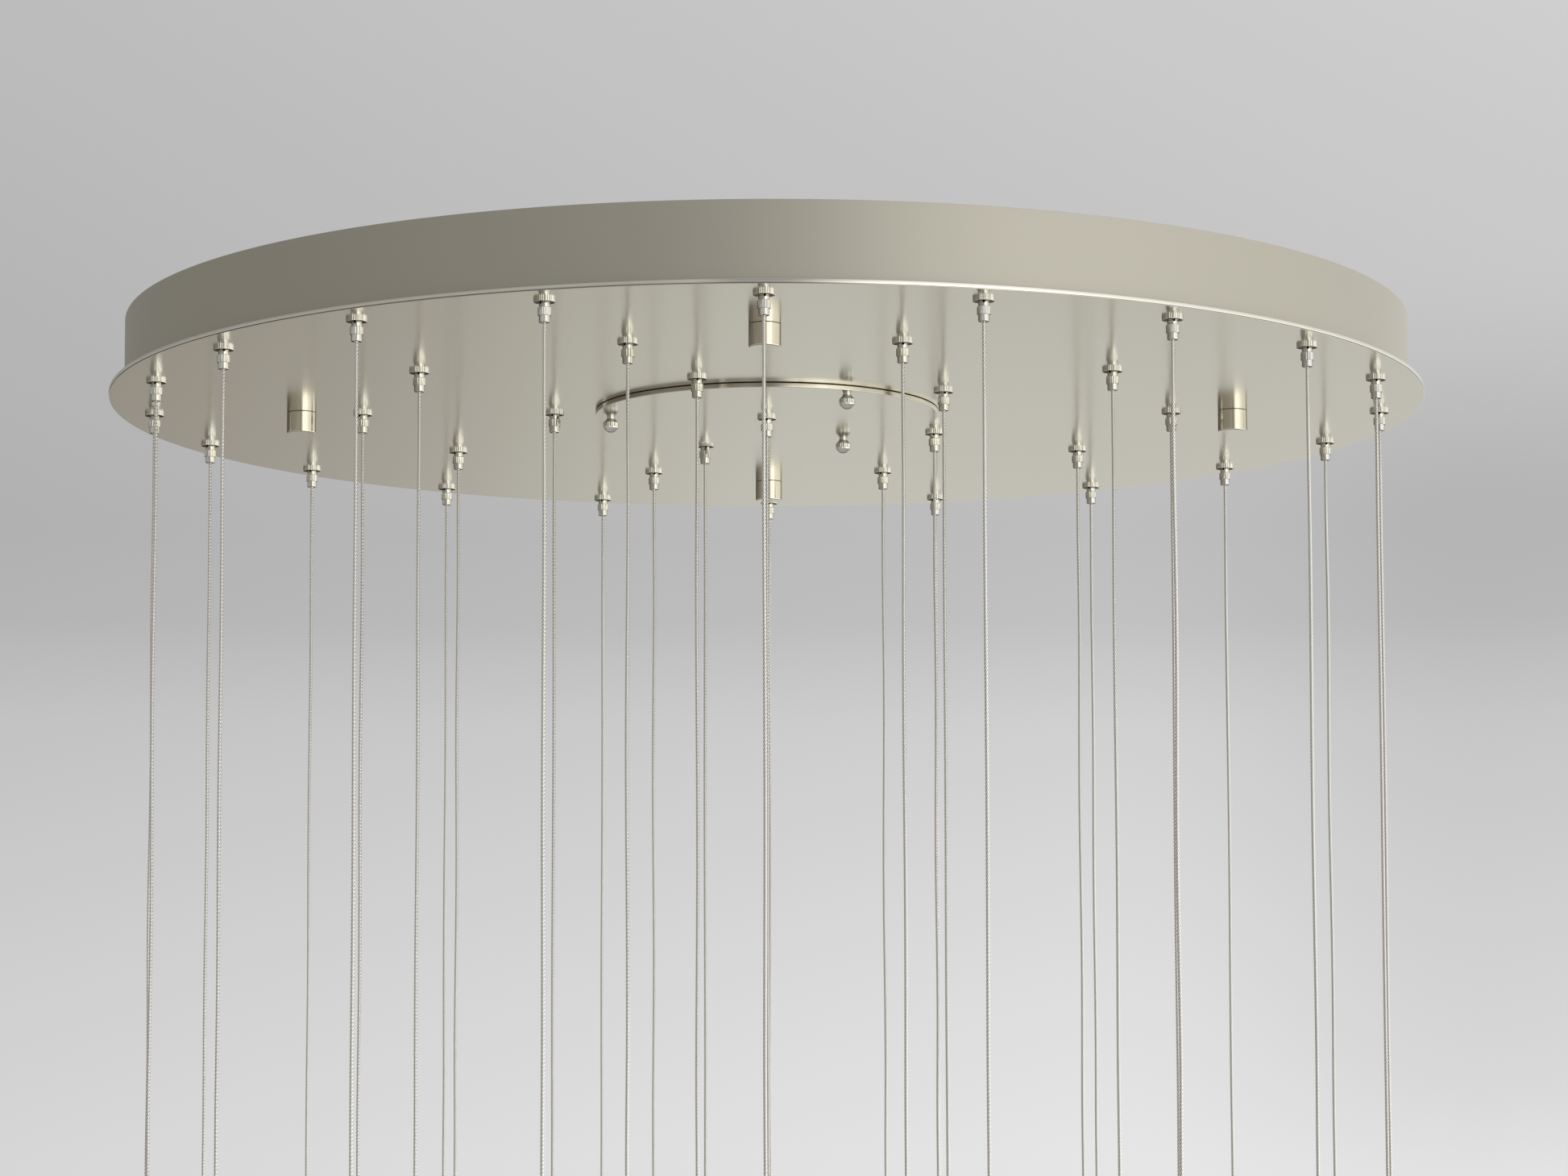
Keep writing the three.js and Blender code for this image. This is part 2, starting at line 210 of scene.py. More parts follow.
print("room ramps", len(room.nodes), "nodes")

# %% Fades that say where each ramp acts
fades = {}
for name, axis, start, stop, at_start, at_stop in [
    ("forward", "Y", 0.0, 1.0, 1.0, 0.82),
    ("ahead", "Y", -0.2, 0.2, 0.0, 1.0),
    ("straight_ahead", "Y", 0.85, 0.95, 0.0, 1.0),
    ("behind", "Y", -0.7, -0.9, 0.0, 1.0),
    ("low", "Z", -0.02, -0.10, 0.0, 1.0),
    ("above_level", "Z", -0.05, 0.02, 0.0, 1.0),
    ("not_high", "Z", 0.20, 0.14, 0.0, 1.0),
    ("right_wall", "X", 0.07, 0.17, 1.0, 0.85),
]:
    fades[name] = add_node(room, "ShaderNodeMapRange", {"interpolation_type": "SMOOTHSTEP"}, {
        "Value": axes.outputs[axis], "From Min": start, "From Max": stop,
        "To Min": at_start, "To Max": at_stop}).outputs["Result"]

DOOR_EDGE = 0.08
DOOR_FADE_END = 0.20
DOOR_LIGHT = 0.5
off_middle = add_node(room, "ShaderNodeMath", {"operation": "ABSOLUTE"}, {0: axes.outputs["X"]})
dark_door = add_node(room, "ShaderNodeMapRange", {"interpolation_type": "SMOOTHSTEP"}, {
    "Value": off_middle.outputs[0], "From Min": DOOR_EDGE, "From Max": DOOR_FADE_END,
    "To Min": DOOR_LIGHT, "To Max": 1.0})
door = add_node(room, "ShaderNodeMix", {"data_type": "FLOAT"}, {
    "Factor": fades["behind"], "A": 1.0, "B": dark_door.outputs["Result"]})

wall_height = add_node(room, "ShaderNodeMath", {"operation": "MULTIPLY"}, {
    0: fades["above_level"], 1: fades["not_high"]})
wall_amount = add_node(room, "ShaderNodeMath", {"operation": "MULTIPLY"}, {
    0: wall_height.outputs[0], 1: fades["straight_ahead"]})
wall = add_node(room, "ShaderNodeMix", {"data_type": "FLOAT"}, {
    "Factor": wall_amount.outputs[0], "A": 1.0, "B": fades["right_wall"]})

# %% Put the room together
low_light = add_node(room, "ShaderNodeMix", {"data_type": "RGBA"}, {
    "Factor": fades["ahead"], COLOUR_A: low_behind, COLOUR_B: low_ahead})
low_or_not = add_node(room, "ShaderNodeMix", {"data_type": "RGBA"}, {
    "Factor": fades["low"], COLOUR_A: light_of(1.0), COLOUR_B: low_light.outputs[COLOUR_OUT]})
across_and_up = add_node(room, "ShaderNodeVectorMath", {"operation": "MULTIPLY"}, {
    0: side_light, 1: height_light})
with_low = add_node(room, "ShaderNodeVectorMath", {"operation": "MULTIPLY"}, {
    0: across_and_up.outputs[0], 1: low_or_not.outputs[COLOUR_OUT]})
door_and_wall = add_node(room, "ShaderNodeMath", {"operation": "MULTIPLY"}, {
    0: door.outputs["Result"], 1: wall.outputs["Result"]})
all_shares = add_node(room, "ShaderNodeMath", {"operation": "MULTIPLY"}, {
    0: door_and_wall.outputs[0], 1: fades["forward"]})
shaded_room = add_node(room, "ShaderNodeVectorMath", {"operation": "SCALE"}, {
    "Vector": with_low.outputs[0], "Scale": all_shares.outputs[0]})
ROOM_LEVEL = 1.97
room_light = add_node(room, "ShaderNodeBackground", inputs={
    "Color": shaded_room.outputs[0], "Strength": ROOM_LEVEL})
add_node(room, "ShaderNodeOutputWorld", inputs={"Surface": room_light.outputs["Background"]})
print("room nodes", len(room.nodes))

# %% [markdown]
# ## Soft lamp and floor
# One long soft lamp stands low on the right, below the canopy. It gives the rounded lower edges of
# the grips and of the rim their bright side. The canopy hangs high, so the floor lies far below it
# and shows only in views from above.

# %% The soft lamp
LAMP_RADIANCE = 1.2
LAMP_SIZE = Vector((10.0, 1.6))
LAMP_PLACE = Vector((4.2, -1.5, -2.2))
lamp_data = bpy.data.lights.new("soft_lamp", "AREA")
lamp_data.shape = "RECTANGLE"
lamp_data.size = LAMP_SIZE.x
lamp_data.size_y = LAMP_SIZE.y
lamp_data.energy = LAMP_RADIANCE * math.pi * LAMP_SIZE.x * LAMP_SIZE.y
lamp = bpy.data.objects.new("soft_lamp", lamp_data)
facing_left = Matrix.Rotation(math.pi / 2, 4, "Z") @ Matrix.Rotation(math.pi / 2, 4, "X")
lamp.matrix_world = Matrix.Translation(LAMP_PLACE) @ facing_left
lamp.visible_camera = False
bpy.context.scene.collection.objects.link(lamp)
print("lamp power", round(lamp_data.energy, 1), "W")

# %% Floor
FLOOR_DEPTH = 8.0
FLOOR_RADIUS = 25.0
FLOOR_SEGMENTS = 96
FLOOR_ROUGHNESS = 0.9
floor_bm = bmesh.new()
bmesh.ops.create_circle(floor_bm, cap_ends=True, segments=FLOOR_SEGMENTS, radius=FLOOR_RADIUS)
bmesh.ops.translate(floor_bm, verts=floor_bm.verts, vec=(0, 0, -FLOOR_DEPTH))
floor_mesh = bpy.data.meshes.new("floor")
floor_bm.to_mesh(floor_mesh)
floor_bm.free()
floor = bpy.data.objects.new("floor", floor_mesh)
bpy.context.scene.collection.objects.link(floor)

floor_finish, floor_shader = new_finish("pale_plaster_floor")
floor_shader.inputs["Base Color"].default_value = linear("#bab8b4")
floor_shader.inputs["Roughness"].default_value = FLOOR_ROUGHNESS
floor_mesh.materials.append(floor_finish)
print("floor at", -FLOOR_DEPTH, "m")

# %% [markdown]
# ## Materials
# Nearly every part is metal, and metals differ by their plating and by how the surface was worked.
# The colour of a metal is the colour of its reflection, so each starts from a typical value of its
# metal and is then matched to the photograph. What the working leaves goes into the gloss and into
# a slight bump.

# %% Materials for metal
CLOUD_DETAIL = 3.0
CLOUD_BREAKUP = 0.55
GRAIN_DETAIL = 2.0


def metal(name, colour, roughness, cloud_mm, cloud_share, gloss_share=0.0, grain_mm=0.0, grain_depth_mm=0.0,
          grazing="#ffffff"):
    """A plated metal: soft clouds in its colour, and if wanted in its gloss, and a blasted grain."""
    finish, shader = new_finish(name)
    tree = finish.node_tree
    shader.inputs["Metallic"].default_value = 1.0
    shader.inputs["Roughness"].default_value = roughness
    # A dark grazing colour is painted shade: it darkens the metal wherever it is seen edge-on.
    shader.inputs["Specular Tint"].default_value = linear(grazing)
    place = add_node(tree, "ShaderNodeTexCoord").outputs["Object"]
    clouds = add_node(tree, "ShaderNodeTexNoise", inputs={
        "Vector": place, "Scale": 1 / (cloud_mm * MM),
        "Detail": CLOUD_DETAIL, "Roughness": CLOUD_BREAKUP})
    base = linear(colour)
    dull = [c * (1 - cloud_share) for c in base[:3]] + [1]
    clear = [c * (1 + cloud_share) for c in base[:3]] + [1]
    tint = add_node(tree, "ShaderNodeMix", {"data_type": "RGBA"}, {
        "Factor": clouds.outputs["Fac"], COLOUR_A: dull, COLOUR_B: clear})
    tree.links.new(tint.outputs[COLOUR_OUT], shader.inputs["Base Color"])
    if gloss_share:
        gloss = add_node(tree, "ShaderNodeMapRange", inputs={
            "Value": clouds.outputs["Fac"], "To Min": roughness * (1 - gloss_share),
            "To Max": roughness * (1 + gloss_share)})
        tree.links.new(gloss.outputs["Result"], shader.inputs["Roughness"])
    if grain_depth_mm:
        grain = add_node(tree, "ShaderNodeTexNoise", inputs={
            "Vector": place, "Scale": 1 / (grain_mm * MM), "Detail": GRAIN_DETAIL})
        bump = add_node(tree, "ShaderNodeBump", inputs={
            "Height": grain.outputs["Fac"], "Distance": grain_depth_mm * MM})
        tree.links.new(bump.outputs["Normal"], shader.inputs["Normal"])
    return finish


# Blasted sheet under champagne nickel: it mirrors shapes softly, in clouds as wide as a hand.
satin_sheet = metal("satin_nickel_sheet", "#b9b5a8", 0.17, cloud_mm=90, cloud_share=0.035, gloss_share=0.1,
                    grain_mm=0.8, grain_depth_mm=0.002, grazing="#fffef7")
# The rolled wall is blasted more coarsely, so the room shows in it only as one long gradient.
satin_wall = metal("satin_nickel_wall", "#b7b3a6", 0.50, cloud_mm=120, cloud_share=0.02, gloss_share=0.05,
                   grain_mm=0.8, grain_depth_mm=0.003)
# A folded or cut edge is polished by the tool, so it shines brighter than the sheet beside it.
bright_edge = metal("polished_nickel_edge", "#d6d3c8", 0.18, cloud_mm=25, cloud_share=0.03)
# Turned brass under bright nickel: crisp bands of light. Its dark grazing colour is painted shade, which
# draws a dark outline where it turns away.
turned_nickel = metal("turned_bright_nickel", "#ecebe4", 0.10, cloud_mm=6, cloud_share=0.03,
                      grazing="#54504a")
# The cap nuts keep a champagne plating, which shows most in their darker half. Their dark grazing colour is
# painted shade along the outline.
turned_cap = metal("turned_champagne_brass", "#ebe5d7", 0.11, cloud_mm=9, cloud_share=0.03, gloss_share=0.1,
                   grazing="#5a5448")
# Zinc plating is duller and bluish, and its clouds are small and plain to see.
zinc_steel = metal("zinc_plated_steel", "#a9adb0", 0.38, cloud_mm=14, cloud_share=0.08)
# Black oxide swallows light, so a screw's socket reads as a dark hole.
black_oxide = metal("black_oxide_steel", "#2a2826", 0.45, cloud_mm=3, cloud_share=0.1)
# Anodised aluminium is pale and even, without a sharp reflection.
driver_case = metal("anodised_aluminium_case", "#c9cacb", 0.42, cloud_mm=20, cloud_share=0.03)
# Plain brass shows yellow against the pale plastic of the terminals.
plain_brass = metal("turned_plain_brass", "#c9a861", 0.28, cloud_mm=3, cloud_share=0.05)
print("materials", len(bpy.data.materials))


# %% Material for the ropes
def rope_metal(name, colour, groove_shade_colour, roughness, grazing):
    """Bright steel strands with painted shade in the grooves between them, which the attribute groove marks.
    """
    finish, shader = new_finish(name)
    tree = finish.node_tree
    shader.inputs["Metallic"].default_value = 1.0
    shader.inputs["Roughness"].default_value = roughness
    shader.inputs["Specular Tint"].default_value = linear(grazing)
    groove = add_node(tree, "ShaderNodeAttribute", {"attribute_name": "groove"})
    tint = add_node(tree, "ShaderNodeMix", {"data_type": "RGBA"}, {
        "Factor": groove.outputs["Fac"], COLOUR_A: linear(colour), COLOUR_B: linear(groove_shade_colour)})
    tree.links.new(tint.outputs[COLOUR_OUT], shader.inputs["Base Color"])
    return finish


# Drawn steel wires shine. The grooves between the strands get a darker colour, painted shade where the
# strands hide each other, and the darker grazing colour paints shade along the rope's sides.
wire_rope = rope_metal("bright_steel_rope", "#f5f4ee", "#979388", 0.24, grazing="#b2aea4")


# %% Material for moulded plastic
def plastic(name, colour, roughness, grain_mm=0.6, gloss_share=0.15):
    """Moulded plastic with the faint grain that a spark-eroded mould leaves in its gloss."""
    finish, shader = new_finish(name)
    tree = finish.node_tree
    shader.inputs["Base Color"].default_value = linear(colour)
    place = add_node(tree, "ShaderNodeTexCoord").outputs["Object"]
    grain = add_node(tree, "ShaderNodeTexNoise", inputs={"Vector": place, "Scale": 1 / (grain_mm * MM)})
    gloss = add_node(tree, "ShaderNodeMapRange", inputs={
        "Value": grain.outputs["Fac"], "To Min": roughness * (1 - gloss_share),
        "To Max": roughness * (1 + gloss_share)})
    tree.links.new(gloss.outputs["Result"], shader.inputs["Roughness"])
    return finish


terminal_plastic = plastic("polyamide_terminal", "#e6e2d8", 0.5)
end_cap_plastic = plastic("polycarbonate_end_cap", "#e9e9e6", 0.45)

# %% [markdown]
# ## Turning and finishing helpers
# Almost every small part here is turned on a lathe, so one helper spins an outline about the upright
# axis as a lathe does. A lathe tool never leaves a razor edge, and a tiny bevel on each corner
# is what catches the light. Each part is made on the axis and then carried to its place.

# %% Turning and finishing helpers
SHARP_TURN = math.radians(18)
BEVEL_LIMIT = math.radians(30)
FLAT = 0.9999
OUTWARD_LEAST = 0.8
COLUMNS_PER_TOOTH = 4


def turned(profile, segments, closed=True):
    """Spins an outline of (radius, height) points in mm about the upright axis.

    The outline closes on itself, unless it starts on the axis or is told to stay open."""
    bm = bmesh.new()
    points = [bm.verts.new((radius * MM, 0, height * MM)) for radius, height in profile]
    for first, second in zip(points, points[1:]):
        bm.edges.new((first, second))
    if closed and profile[0][0] > 0:
        bm.edges.new((points[-1], points[0]))
    bmesh.ops.spin(bm, geom=bm.verts[:] + bm.edges[:], cent=(0, 0, 0), axis=(0, 0, 1),
                   angle=math.tau, steps=segments, use_merge=True)
    bmesh.ops.remove_doubles(bm, verts=bm.verts, dist=WELD)
    bmesh.ops.recalc_face_normals(bm, faces=bm.faces)
    return bm


def corner(centre_radius, centre_height, radius, start, end, steps=6):
    """The points of a round corner from one angle to the other, in degrees, outwards being 0."""
    points = []
    for i in range(steps + 1):
        angle = math.radians(start + (end - start) * i / steps)
        points.append((centre_radius + radius * math.cos(angle), centre_height + radius * math.sin(angle)))
    return points


def soften(bm, width, segments=2, seat=None):
    """Bevels every edge that turns sharply, but none that lies at the height of a seat in mm."""
    sharp = [e for e in bm.edges if e.is_manifold and e.calc_face_angle() > BEVEL_LIMIT]
    if seat is not None:
        sharp = [e for e in sharp if any(abs(point.co.z - seat * MM) > WELD for point in e.verts)]
    bmesh.ops.bevel(bm, geom=sharp, offset=width * MM, offset_type="OFFSET", segments=segments,
                    profile=0.5, affect="EDGES", clamp_overlap=True, material=-1)
    return bm


def knurl(bm, low, high, radius, reach, depth, columns):
    """Cuts upright grooves: on a band, one column of points of each tooth is drawn towards the axis."""
    cut = []
    for point in bm.verts:
        out = math.hypot(point.co.x, point.co.y)
        column = round(math.atan2(point.co.y, point.co.x) / math.tau * columns)
        in_band = low * MM - WELD < point.co.z < high * MM + WELD and out > (radius - reach) * MM
        if in_band and column % COLUMNS_PER_TOOTH == 0:
            cut.append(point)
    share = 1 - depth / radius
    bmesh.ops.scale(bm, vec=(share, share, 1), verts=cut)
    return bm


def thickened(bm, thickness):
    """Gives the flat faces of a sheet their thickness, upwards, in mm."""
    raised = bmesh.ops.extrude_face_region(bm, geom=bm.faces[:], use_keep_orig=True)
    points = [v for v in raised["geom"] if isinstance(v, bmesh.types.BMVert)]
    bmesh.ops.translate(bm, verts=points, vec=(0, 0, thickness * MM))
    return bm


def faces_out(face):
    """Whether a face looks away from the upright axis, as the outside of a rim does."""
    away = face.calc_center_median().xy.normalized()
    return away.dot(face.normal.xy) > OUTWARD_LEAST


# %% From a shape to a piece
def to_mesh(bm, name, finish, edge_finish=None, edge_beyond=0.0):
    """Makes a mesh of the shape, smooth where it is round, sharp at its corners and round its flats.

    Faces that look outwards beyond a radius in mm take the edge finish, if there is one."""
    bmesh.ops.remove_doubles(bm, verts=bm.verts, dist=WELD)
    bmesh.ops.recalc_face_normals(bm, faces=bm.faces)
    for face in bm.faces:
        face.smooth = True
        far_out = face.calc_center_median().xy.length > edge_beyond * MM
        if edge_finish and far_out and faces_out(face):
            face.material_index = 1
    for edge in bm.edges:
        if len(edge.link_faces) != 2:
            continue
        flats = [abs(face.normal.z) > FLAT for face in edge.link_faces]
        edge.smooth = flats[0] == flats[1] and edge.calc_face_angle() < SHARP_TURN
    mesh = bpy.data.meshes.new(name)
    bm.to_mesh(mesh)
    bm.free()
    mesh.materials.append(finish)
    if edge_finish:
        mesh.materials.append(edge_finish)
    return mesh


def place_piece(mesh, name, body, stands_for=(), at=(0, 0), turn=0.0, own=True):
    """Puts a copy of a mesh at (x, y) as a piece of its own, riding on a body."""
    placed = mesh.copy() if own else mesh
    placed.name = name
    placed.transform(Matrix.Translation((at[0], at[1], 0)) @ Matrix.Rotation(turn, 4, "Z"))
    made = bpy.data.objects.new(name, placed)
    bpy.context.scene.collection.objects.link(made)
    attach(made, body)
    if stands_for:
        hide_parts(*stands_for)
    return made


def middle(node):
    """The (x, y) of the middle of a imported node."""
    low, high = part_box(node)
    return ((low.x + high.x) / 2, (low.y + high.y) / 2)


# %% [markdown]
# ## Ropes
# The cables are ropes of four bright steel strands, each rope 3.2 mm thick. A rope could be four
# twisted tubes, but they would hide most of their faces inside. One four-lobed section that is spun
# about its own middle while it moves down gives the same outside. A gentle waviness, which the real
# ropes keep from the drum they came on, fades out towards the grip and towards the end fitting.

# %% Rope sizes
ROPE_RADIUS = 1.6
STRANDS = 4
COLUMNS_PER_STRAND = 4
GROOVE_SHARE = 0.74
LAY_LENGTH = 12.2
STEPS_PER_TURN = 12
CABLE_COUNT = 36
CENTRE_CABLE = 36
PATH_POINTS = 24

cable_names = [f"cable_{i:02d}" for i in range(1, CABLE_COUNT + 1)]
cable_low, cable_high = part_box("cable_01")
SWAGE_LENGTH = 20
STUD_LENGTH = 14
cable_end = cable_low.z / MM + SWAGE_LENGTH + STUD_LENGTH
tail_top = cable_high.z / MM
plate_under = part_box("cover_plate")[0].z / MM
cover_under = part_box("access_cover")[0].z / MM
FIT_GAP = 0.3
FLANGE_THICKNESS = 2.4
NECK_LENGTH = 4.1
NUT_LENGTH = 6.5
SLEEVE_LENGTH = 5.5
grip_length = FIT_GAP + FLANGE_THICKNESS + NECK_LENGTH + NUT_LENGTH + SLEEVE_LENGTH
print("rope from", plate_under - grip_length, "to", cable_end)


# %% One straight rope
def strand_share(column):
    """How far out a column of points lies on round strands that touch, as a share of the radius."""
    strand = math.sin(math.pi / STRANDS) / (1 + math.sin(math.pi / STRANDS))
    strand_middle = 1 - strand
    turn = math.tau / STRANDS * (column % COLUMNS_PER_STRAND / COLUMNS_PER_STRAND - 0.5)
    beside = max(0.0, strand ** 2 - (strand_middle * math.sin(turn)) ** 2)
    return max(GROOVE_SHARE, strand_middle * math.cos(turn) + math.sqrt(beside))


def rope_mesh(name, top, low):
    """A rope on the axis from one height to another, in mm, with its grooves marked for their painted shade.
    """
    bm = bmesh.new()
    columns = STRANDS * COLUMNS_PER_STRAND
    bmesh.ops.create_circle(bm, cap_ends=True, segments=columns, radius=ROPE_RADIUS * MM)
    for point in bm.verts:
        point.co.xy *= strand_share(round(math.atan2(point.co.y, point.co.x) / math.tau * columns))
    bmesh.ops.translate(bm, verts=bm.verts, vec=(0, 0, top * MM))
    turns = (top - low) / LAY_LENGTH
    steps = round(turns * STEPS_PER_TURN)
    fall = Vector((0, 0, (low - top) * MM / steps))
    made = bmesh.ops.spin(bm, geom=bm.edges[:], cent=(0, 0, 0), axis=(0, 0, 1), dvec=fall,
                          angle=-turns * math.tau, steps=steps)
    last = [e for e in made["geom_last"] if isinstance(e, bmesh.types.BMEdge)]
    bmesh.ops.edgeloop_fill(bm, edges=last)
    mesh = to_mesh(bm, name, wire_rope)
    # The groove marks say where the rope's colour is darkened as painted shade.
    mesh.attributes.new("groove", "FLOAT", "POINT")
    valley = ROPE_RADIUS * (1 + GROOVE_SHARE) / 2 * MM
    marks = mesh.attributes["groove"].data
    for point in mesh.vertices:
        marks[point.index].value = 1.0 if point.co.xy.length < valley else 0.0
    return mesh


# %% The sway of a rope
SWAY_LEAST, SWAY_MOST = 0.15, 0.6
WAVE_LEAST, WAVE_MOST = 260, 520
SWAY_FADE = 130
sway_source = random.Random(36)


def new_sway():
    """Two slow waves of one rope, as (size, wavelength, start) in mm and radians."""
    return [(sway_source.uniform(SWAY_LEAST, SWAY_MOST), sway_source.uniform(WAVE_LEAST, WAVE_MOST),
             sway_source.uniform(0, math.tau)) for _ in range(2)]


def sway_at(waves, height, top, low):
    """How far a rope with those waves stands off its straight line at a height, in metres."""
    nearest_end = min(top - height, height - low)
    fade = max(0.0, min(1.0, nearest_end / SWAY_FADE))
    # This smooth step starts and ends level, so the rope has no kink.
    fade = fade * fade * (3 - 2 * fade)
    return [fade * size * MM * math.sin(math.tau * height / wave + start) for size, wave, start in waves]


# %% The end fitting of a rope
SWAGE_RADIUS = 3.3
SWAGE_LEAD = 1.2
STUD_RADIUS = 2.0
STUD_CHAMFER = 0.7
THREAD_PITCH = 0.7
THREAD_DEPTH = 0.35
CRIMP_DEPTH = 0.35
CRIMP_WIDTH = 1.0
CRIMP_RAMP = 0.4
END_SEGMENTS = 20
crimp_shares = (0.3, 0.5, 0.7)

swage_low = cable_end - SWAGE_LENGTH
stud_low = swage_low - STUD_LENGTH
end_profile = [(0, stud_low), (STUD_RADIUS - THREAD_DEPTH, stud_low)]
for turn in range(round((STUD_LENGTH - 2 * STUD_CHAMFER) / THREAD_PITCH)):
    crest = stud_low + STUD_CHAMFER + turn * THREAD_PITCH
    end_profile.append((STUD_RADIUS, crest))
    end_profile.append((STUD_RADIUS - THREAD_DEPTH, crest + THREAD_PITCH / 2))
end_profile += [
    (STUD_RADIUS - THREAD_DEPTH, swage_low),
    (SWAGE_RADIUS - STUD_CHAMFER, swage_low),
    (SWAGE_RADIUS, swage_low + STUD_CHAMFER),
]
for share in crimp_shares:
    crimp = swage_low + share * SWAGE_LENGTH
    end_profile.append((SWAGE_RADIUS, crimp - CRIMP_WIDTH / 2 - CRIMP_RAMP))
    end_profile.append((SWAGE_RADIUS - CRIMP_DEPTH, crimp - CRIMP_WIDTH / 2))
    end_profile.append((SWAGE_RADIUS - CRIMP_DEPTH, crimp + CRIMP_WIDTH / 2))
    end_profile.append((SWAGE_RADIUS, crimp + CRIMP_WIDTH / 2 + CRIMP_RAMP))
end_profile += [
    (SWAGE_RADIUS, cable_end - SWAGE_LEAD),
    (SWAGE_RADIUS - SWAGE_LEAD, cable_end),
    (0, cable_end),
]
end_mesh = to_mesh(turned(end_profile, END_SEGMENTS), "rope_end", turned_nickel)
print("end fitting", len(end_mesh.polygons), "faces")

# %% Hang every rope
straight = {}
for seat in (plate_under, cover_under):
    mouth = seat - grip_length
    straight[seat] = (rope_mesh("straight_rope", mouth, cable_end), rope_mesh("rope_tail", tail_top, mouth))

for name in cable_names:
    x, y = middle(name)
    number = name[-2:]
    seat = cover_under if int(number) == CENTRE_CABLE else plate_under
    mouth = seat - grip_length
    waves = new_sway()
    free = straight[seat][0].copy()
    for point in free.vertices:
        sway = sway_at(waves, point.co.z / MM, mouth, cable_end)
        point.co.x += sway[0]
        point.co.y += sway[1]
    rope = place_piece(free, f"rope_{number}", name, (name,), (x, y), own=False)
    place_piece(straight[seat][1], f"rope_tail_{number}", name, (name,), (x, y))
    end = place_piece(end_mesh, f"rope_end_{number}", name, (name,), (x, y))
    for i in range(PATH_POINTS):
        height = mouth + (cable_end - mouth) * i / (PATH_POINTS - 1)
        sway = sway_at(waves, height, mouth, cable_end)
print("ropes", len(cable_names), "faces each", len(rope.data.polygons))

# %% [markdown]
# ## Cable grips
# A grip is what lets an installer set the height of a pendant: the rope runs up through it, and a
# set of balls inside bites it until the lower sleeve is pushed up. Each grip is four turned pieces
# and a set screw: a body with a knurled flange and a neck, a fluted nut, the release sleeve and a
# lock nut above the plate. The flutes are cut by drawing columns of points inwards, as a knurling
# wheel presses them in, and the hole of the set screw is drilled with a boolean.

# %% Grip sizes
TOUCH = 0.02
BORE = 1.95
BORE_LEAD = 0.5
FLANGE_RADIUS = 8.75
NECK_RADIUS = 4.4
NUT_RADIUS = 5.45
SLEEVE_RADIUS = 4.5
SHANK_RADIUS = 5.0
SHANK_STAND = 0.8
SPIGOT_RADIUS = 3.4
SPIGOT_LENGTH = 2.2
SPIGOT_GAP = 0.1
CAVITY_WALL = 0.7
SLEEVE_TRAVEL = 2.4
GRIP_BEVEL = 0.3
FLANGE_TEETH = 36
TOOTH_DEPTH = 0.22
NUT_FLUTES = 24
FLUTE_DEPTH = 0.22
KNURL_PLAY = 0.1
SLEEVE_SEGMENTS = 48
LOCK_NUT_RADIUS = 8.0
LOCK_NUT_HEIGHT = 5.0
LOCK_NUT_PLAY = 0.9

ring_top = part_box("outer_backing_ring")[1].z / MM - LOCK_NUT_HEIGHT
cover_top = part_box("centre_grip_body")[1].z / MM - LOCK_NUT_HEIGHT
print("lock nuts stand on", ring_top, "and", cover_top)

# %% The set screw and its hole
SET_HOLE_RADIUS = 1.1
SET_HOLE_DEPTH = 1.8
SET_HOLE_DROP = 0.55
SET_SCREW_SUNK = 0.9
SET_SCREW_PLAY = 0.1
SOCKET_WALL = 0.4
SOCKET_DEPTH = 0.5
SET_SEGMENTS = 16
DRILL_OVERRUN = 1


def across_rod(radius, inner_end, outer_end, height):
    """A rod along X between two distances from the axis, at a height, in mm."""
    bm = bmesh.new()
    bmesh.ops.create_cone(bm, cap_ends=True, segments=SET_SEGMENTS, radius1=radius * MM,
                          radius2=radius * MM, depth=(outer_end - inner_end) * MM)
    bmesh.ops.rotate(bm, verts=bm.verts, matrix=Matrix.Rotation(math.pi / 2, 3, "Y"))
    bmesh.ops.translate(bm, verts=bm.verts, vec=((inner_end + outer_end) / 2 * MM, 0, height * MM))
    return bm


def drilled(bm, tool):
    """Cuts the shape of a tool out of a body, as a drill does, and gives the body back."""
    objects = []
    for kind, shape in (("drilled_body", bm), ("drill", tool)):
        mesh = bpy.data.meshes.new(kind)
        shape.to_mesh(mesh)
        shape.free()
        objects.append(bpy.data.objects.new(kind, mesh))
        bpy.context.scene.collection.objects.link(objects[-1])
    cut = objects[0].modifiers.new("drill", "BOOLEAN")
    cut.operation = "DIFFERENCE"
    cut.object = objects[1]
    result = bmesh.new()
    result.from_object(objects[0], bpy.context.evaluated_depsgraph_get())
    for used in objects:
        mesh = used.data
        bpy.data.objects.remove(used)
        bpy.data.meshes.remove(mesh)
    return result


def set_screw_mesh(height):
    """A small grub screw with a socket, sunk in the neck."""
    outer_end = NECK_RADIUS - SET_SCREW_SUNK
    inner_end = NECK_RADIUS - SET_HOLE_DEPTH
    bm = across_rod(SET_HOLE_RADIUS - SET_SCREW_PLAY, inner_end, outer_end, height)
    outer = max(bm.faces, key=lambda face: face.calc_center_median().x)
    bmesh.ops.inset_region(bm, faces=[outer], thickness=SOCKET_WALL * MM)
    bmesh.ops.translate(bm, verts=outer.verts, vec=(-SOCKET_DEPTH * MM, 0, 0))
    return to_mesh(bm, "set_screw", black_oxide)


